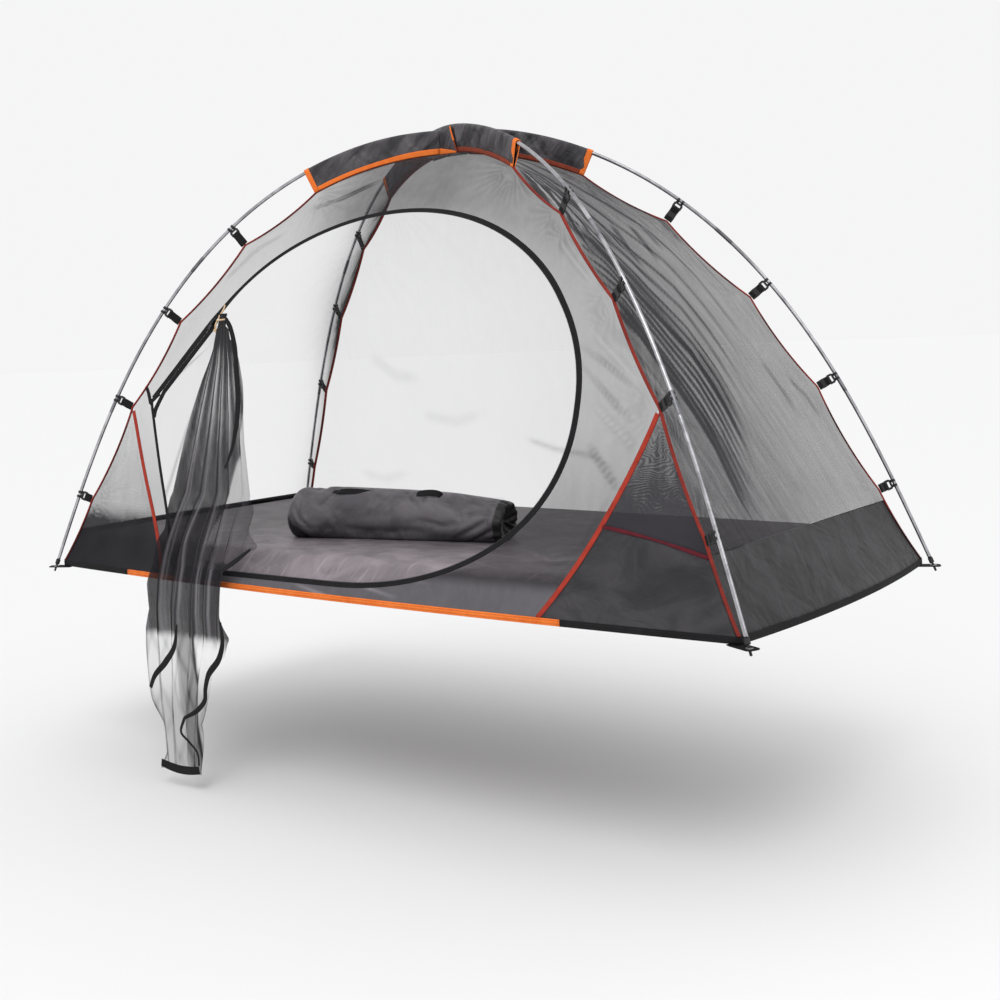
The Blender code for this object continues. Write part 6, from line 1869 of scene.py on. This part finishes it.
# creases: share along and degrees round (top 90, door side 180), width in metres, depth
bagFolds = (
    ((0.545, 100), (0.60, 125), (0.650, 158)), 0.006, -0.0030), (
    ((0.64, 96), (0.655, 120), (0.66, 140)), 0.005, -0.0026), (
    ((0.60, 98), (0.585, 120), (0.60, 150)), 0.006, 0.0020), (
    ((0.245, 102), (0.20, 125), (0.150, 150)), 0.008, -0.0024), (
    ((0.40, 100), (0.43, 120), (0.50, 140)), 0.008, -0.0020), (
    ((0.02, 150), (0.06, 185), (0.11, 222)), 0.006, -0.0030), (
    ((0.03, 140), (0.08, 170), (0.14, 200)), 0.005, -0.0018), (
    ((0.05, 100), (0.12, 130), (0.25, 150)), 0.012, -0.0020), (
    ((0.10, 200), (0.40, 215), (0.72, 205)), 0.012, -0.0030), (
    ((0.20, 160), (0.36, 172), (0.55, 165)), 0.014, -0.0022), (
    ((0.62, 180), (0.75, 190), (0.86, 178)), 0.010, -0.0028), (
    ((0.72, 110), (0.80, 140), (0.84, 175)), 0.008, -0.0030), (
    ((0.80, 95), (0.86, 120), (0.93, 135)), 0.006, -0.0032), (
    ((0.82, 215), (0.89, 190), (0.95, 165)), 0.007, -0.0042), (
    ((0.85, 235), (0.92, 212), (0.965, 190)), 0.006, -0.0042), (
    ((0.84, 160), (0.90, 150), (0.96, 148)), 0.006, -0.0036), (
    ((0.88, 110), (0.92, 118), (0.965, 112)), 0.005, -0.0034)


def bagSize(share):
    left = np.minimum((share + 0.004) / 0.07, 1.0)
    right = np.minimum((1.004 - share) / 0.10, 1.0)
    return np.sqrt(1 - (1 - left) ** 2) * (0.80 + 0.20 * np.sqrt(1 - (1 - right) ** 2))


def bagSag(share):
    return 1 - bag["sag"] * smoothStep(share, 0.12, 0.95)


def bagCrease(share, angle):
    depth, dark = np.zeros_like(angle), np.zeros_like(angle)
    around = np.degrees(angle) % 360
    for points, width, deep in bagFolds:
        path = np.array(points, float) * (bag["length"], math.radians(bag["radius"]))
        here = np.stack([share * bag["length"] + 0 * angle, np.radians(around) * bag["radius"]], axis=-1)
        steps = np.linspace(0.0, 1.0, 40)
        spans = np.linspace(0.0, 1.0, len(path))
        line = np.stack([np.interp(steps, spans, path[:, k]) for k in (0, 1)], axis=-1)
        gaps = np.linalg.norm(here[:, None, :] - line[None, :, :], axis=2)
        near = gaps.min(axis=1)
        ends = np.sin(np.pi * steps[gaps.argmin(axis=1)] * 0.96 + 0.06)
        weight = np.exp(-((near / width) ** 2)) * np.clip(ends * 1.6, 0.0, 1.0)
        depth += 1.5 * deep * weight
        # creases that sink in are painted darker too: painted shade
        dark += 0.22 * weight * (deep < 0)
    return depth, np.minimum(dark, 0.4)


def bagSurface(share, angle, inwards=0.0):
    # pleats gather towards the right end, the end cloths dish inwards
    size = bagSize(share) * (1 - inwards)
    near = smoothStep(share, 0.90, 1.0)
    pleat = 0.045 * near * np.sin(13 * angle + 2.0 * np.sin(3 * angle)) + 0.012 * np.sin(5 * angle + 11 * share)
    reach = bag["radius"] * size * (1 + pleat * (1 - 0.4 * inwards))
    if not inwards:
        reach = reach + bagCrease(share, angle)[0]
    x = bag["shownLength"] * share - bag["length"] / 2
    y = reach * np.cos(angle)
    z = (bag["axisHeight"] + reach * np.sin(angle)) * bagSag(share)
    return x, y, np.maximum(z, 0.0)


def makeBag():
    sides, cap = bag["sides"], bag["capRings"]
    angles = np.linspace(0.0, 2 * math.pi, sides, endpoint=False)
    shares = 1 - (1 - np.linspace(0.0, 1.0, bag["stations"]) ** 0.8)
    rings, black = [], []
    for k in np.linspace(0.97, 0.08, cap):  # left end cloth
        x, y, z = bagSurface(0.0, angles, k)
        rings.append(np.stack([x + 0.006 * (1 - k) + 0 * y, y, z], axis=-1))
        black.append(np.ones(sides))
    for share in shares:
        x, y, z = bagSurface(share, angles)
        rings.append(np.stack([x + 0 * y, y, z], axis=-1))
        low = bag["axisHeight"] - z
        side = smoothStep(-np.cos(angles), 0.2, 0.3)
        corner = smoothStep(0.062 - share * bag["length"] + (low - 0.030) * 1.2, 0.0, 0.006)
        corner = corner * smoothStep(low, -0.012, -0.006) * side
        rim = smoothStep(np.full(sides, share), 0.962, 0.968)
        # painted shade under the bag; the corner, the rim and the end cloths are its own black cloth
        under = 0.45 * smoothStep(low, 0.012, 0.045) * side
        black.append(np.maximum.reduce([corner, rim, under, bagCrease(share, angles)[1]]))
    for k in np.linspace(0.10, 0.97, cap):  # right end cloth, drawn together
        x, y, z = bagSurface(1.0, angles, k)
        pleat = 0.006 * np.sin(9 * angles + 1.2 * np.sin(2 * angles)) * min(k * 3, 1.0) * (1 - k)
        rings.append(np.stack([x - 0.016 * math.sin(k * 1.6) + pleat + 0 * y, y, z], axis=-1))
        black.append(np.ones(sides))
    mesh = loopedMesh("bagBody", rings, paintedLightAndTone=np.array(black))
    inflate(mesh, bag)
    smooth = bpy.data.objects.new("bagSmooth", mesh)
    bpy.context.scene.collection.objects.link(smooth)
    level = smooth.modifiers.new("smooth", "SUBSURF")
    level.levels = level.render_levels = 1
    solid = smooth.evaluated_get(bpy.context.evaluated_depsgraph_get())
    result = bpy.data.meshes.new_from_object(solid)
    bpy.data.objects.remove(smooth, do_unlink=True)
    result.transform(bagTurn)
    addPiece("bagBody", result, "bagCloth", "bag", ("bag_body",), "bag_cloth")


def inflate(mesh, plan):
    # a short cloth run: a little air, a little spare cloth, so it creases as a filled bag does
    scene = bpy.context.scene
    start = np.empty(len(mesh.vertices) * 3)
    mesh.vertices.foreach_get("co", start)
    start = start.reshape(-1, 3)
    trial = bpy.data.objects.new("bagTrial", mesh.copy())
    scene.collection.objects.link(trial)
    held = trial.vertex_groups.new(name="held")
    half = plan["length"] / 2
    for i, (x, _, z) in enumerate(start):
        if z < 0.004 or abs(x) > half - 0.004:
            held.add([i], 1.0, "REPLACE")
    cloth = trial.modifiers.new("air", "CLOTH")
    settings = cloth.settings
    settings.vertex_group_mass = "held"
    settings.use_pressure = True
    settings.uniform_pressure_force = plan["pressure"]
    settings.shrink_min = plan["slackCloth"]
    settings.tension_stiffness = settings.compression_stiffness = 25.0
    settings.bending_stiffness = 0.3
    settings.quality = 6
    settings.effector_weights.gravity = 0.0
    cloth.collision_settings.use_collision = False
    cloth.point_cache.frame_start, cloth.point_cache.frame_end = 1, plan["frames"]
    for number in range(1, plan["frames"] + 1):
        scene.frame_set(number)
    moved = trial.evaluated_get(bpy.context.evaluated_depsgraph_get()).to_mesh()
    after = np.empty(len(moved.vertices) * 3)
    moved.vertices.foreach_get("co", after)
    step = after.reshape(-1, 3) - start
    far = np.linalg.norm(step, axis=1, keepdims=True)
    step *= np.minimum(1.0, plan["cap"] / np.maximum(far, 1e-9))
    end = start + step
    end[:, 2] = np.maximum(end[:, 2], 0.0002)
    mesh.vertices.foreach_set("co", end.ravel())
    mesh.update()
    bpy.data.objects.remove(trial, do_unlink=True)
    scene.frame_set(1)
    print("bag moved by up to", round(float(far.max() * 1000), 1), "mm")


def makeHandles():
    for name, spot, span, rise, lean, skew in bag["handles"]:
        rings = []
        for share in np.linspace(0.0, 1.0, 61):
            angle = math.pi * min(max((share - 0.18) / 0.64, 0.0), 1.0)
            lap = (min(share, 0.18) - 0.18 + max(share - 0.82, 0.0)) * 0.085
            x = -span / 2 * math.cos(angle) + skew * math.sin(angle) ** 2 + lap
            along = (spot + x) / bag["length"] + 0.5
            crown = (bag["axisHeight"] + bag["radius"] + 0.0012) * float(bagSag(along))
            z = rise * math.sin(angle) ** 0.8 + crown
            slope = math.atan2(rise * math.cos(angle), span / 2 * math.sin(angle) + 0.006)
            normal = np.array((-math.sin(slope), 0.0, math.cos(slope)))
            tip = math.radians(lean) * math.sin(angle) ** 0.6
            wide = np.array((0.0, math.cos(tip), 0.0)) + normal * math.sin(tip)
            thick = normal * math.cos(tip) - np.array((0.0, math.sin(tip), 0.0))
            middle = np.array((x, -0.010 * math.sin(tip), z))
            rings.append([middle + wide * bag["handleWidth"] / 2 * c + thick * bag["handleCloth"] / 2 * s
                          for c, s in softOval(16, 0.4, 0.4)])
        mesh = loopedMesh(f"bagHandle_{name}", rings)
        axis = Matrix.Translation((spot, 0.0, bag["axisHeight"]))
        turn = bagTurn @ axis @ Matrix.Rotation(math.radians(bag["handleTip"]), 4, "X")
        mesh.transform(turn @ Matrix.Translation((0.0, 0.0, -bag["axisHeight"])))
        node = f"bag_handle_{name}"
        piece = addPiece(f"bagHandle_{name}", mesh, "webbing", node, (node,), "black_tape")
        crown = (bag["axisHeight"] + bag["radius"]) * float(bagSag(spot / bag["length"] + 0.5)) - bag["axisHeight"]
        lifts = [tuple(turn @ Vector((0.0, 0.0, crown + up))) for up in (0.001, 0.007)]
        blended.append((piece, "bag", node, *lifts))


def makeBagStitches():
    angles = np.linspace(0.0, 2 * math.pi, 120)
    paths = []
    for share in (bag["seamAt"], bag["seamAt"] + 0.006, 0.957):
        x, y, z = bagSurface(share, angles)
        spots = np.stack([x + 0 * y, y, z], axis=-1)
        ways = np.stack([0 * y, np.cos(angles), np.sin(angles)], axis=-1)
        spots = [bagTurn @ Vector(p + w * 0.0006) for p, w in zip(spots, ways)]
        ways = [bagTurn.to_3x3() @ Vector(w) for w in ways]
        paths.append([(p, w) for p, w in zip(spots, ways) if p.z > 0.012])
    makeRow("bagStitches", paths, 0.0042, (0.0030, 0.0007, 0.0006), "blackThread", "bag", slot="bag_cloth")


makeBag()
makeHandles()
makeBagStitches()
print("carry bag ready")


# Webbing of the clips, and the corner tabs with their eyelets
strap = {"width": 0.0206, "cloth": 0.0028, "top": -0.0172, "lap": 0.0006}
tab = {
    "top": -0.0846,
    "cloth": 0.002,
    "width": 0.030,
    "past": 0.016,
    "hemOut": 1.058,  # the hem's corner
    "lap": 0.022,
    "eyelet": 0.0075,
    "bore": 0.0046,
}
# how far out of the pin's middle, in metres, and up, in half thicknesses
eyeletHalf = ((tab["bore"] - 0.0004, 0.4), (tab["bore"], 1.5), (tab["eyelet"] - 0.001, 1.8), (tab["eyelet"], 1.05))
eyeletRim = (*eyeletHalf, *((far, -level) for far, level in eyeletHalf[::-1]), eyeletHalf[0])
tabRim = ((0, 1), (0.03, 1), (0.5, 1), (0.96, 1), (1, 0.6), (1, -0.6), (0.96, -1), (0.5, -1), (0.03, -1), (0, -1),
          (0, 1))


def makeStraps():
    for number, (arc, drop) in enumerate(zip(clipArcs, clipDrops), start=1):
        for arm in armSigns:
            frameNow = armFrame(arm, arc)
            foot = -drop + ridge["tapeDepth"] / 2 + strap["lap"]
            rings = []
            for share in np.linspace(0.0, 1.0, 14):
                z = strap["top"] + (foot - strap["top"]) * share
                half = strap["width"] / 2 * (1 + 0.03 * math.sin(9 * share + number))
                thick = strap["cloth"] / 2 * (1 + 0.5 * (1 - share) ** 4)
                bend = 0.0006 * math.sin(math.pi * share)
                rings.append([(half * c, bend + thick * s, z) for c, s in softOval(14, 0.35, 0.6)])
            name = f"{arm}_{number}"
            mesh = loopedMesh("clipStrap_" + name, rings)
            mesh.transform(frameNow)
            addPiece("clipStrap_" + name, mesh, "webbing", "clip_" + name, (), "black_tape")
            paths = []
            for up in (foot + 0.004, foot + 0.010):
                for side in (-1, 1):
                    way = frameNow.to_3x3() @ Vector((0.0, side, 0.0))
                    paths.append([(frameNow @ Vector((x, side * strap["cloth"] * 0.52 + 0.0005, up)), way)
                                  for x in np.linspace(-0.008, 0.008, 8)])
            makeRow("clipStitches_" + name, paths, 0.0032, (0.0024, 0.0006, 0.0005), "blackThread", "clip_" + name,
                    slot="black_tape")


def makeTabs():
    out, up, lean = poleAt(halfLength)
    pin = out + (up - tab["top"] + tab["cloth"] / 2) / math.tan(lean)
    inner, outer, half = tab["hemOut"] - tab["lap"] - pin, tab["past"], tab["width"] / 2
    angles = np.linspace(0.0, 2 * math.pi, 72, endpoint=False)
    c, s = np.cos(angles), np.sin(angles)
    reach = np.minimum(np.where(c > 0, outer, -inner) / np.maximum(abs(c), 1e-6), half / np.maximum(abs(s), 1e-6))
    reach = np.where(c > 0, np.minimum(reach, min(outer, half) + 0.003), reach)
    turns = np.linspace(0, 2 * math.pi, 32, endpoint=False)
    for arm, (sx, sy) in armSigns.items():
        lift = Matrix.Translation((0, 0, tab["top"] - tab["cloth"] / 2))
        turn = lift @ Matrix.Rotation(math.atan2(sy * planY, sx * planX), 4, "Z")
        rows = []
        for share, level in tabRim:
            far = tab["bore"] + (reach - tab["bore"]) * share
            rows.append(np.stack([pin + far * c, far * s, 0 * c + level * tab["cloth"] / 2], axis=-1))
        rim = [[(pin + far * math.cos(a), far * math.sin(a), level * tab["cloth"] / 2) for a in turns]
               for far, level in eyeletRim]
        for name, grid, look, nodes, slot in (
            (f"cornerTab_{arm}", rows, "webbing", (f"corner_tab_{arm}",), "black_tape"),
            (f"eyelet_{arm}", rim, "steel", (), "zip_metal"),
        ):
            mesh = welded(gridMesh(name, grid, closed=True))
            mesh.transform(turn)
            addPiece(name, mesh, look, "tent", nodes, slot)


def dressNodes():
    # moulded and metal parts keep their shape and take a better finish
    for name, part in allParts.items():
        look = None
        if name.startswith(("clip_", "pole_tip_")):
            look = "blackPlastic"
        elif name.startswith("zip_"):
            look = "zipMetal"
        if look:
            part.data.materials.clear()
            part.data.materials.append(looks[look])


makeStraps()
makeTabs()
dressNodes()
print("clips and corners ready")


def declareCloth():
    lengths = np.linalg.norm(np.diff(tieLine, axis=0), axis=1)
    float(lengths.sum())


pinPieces()
declareCloth()
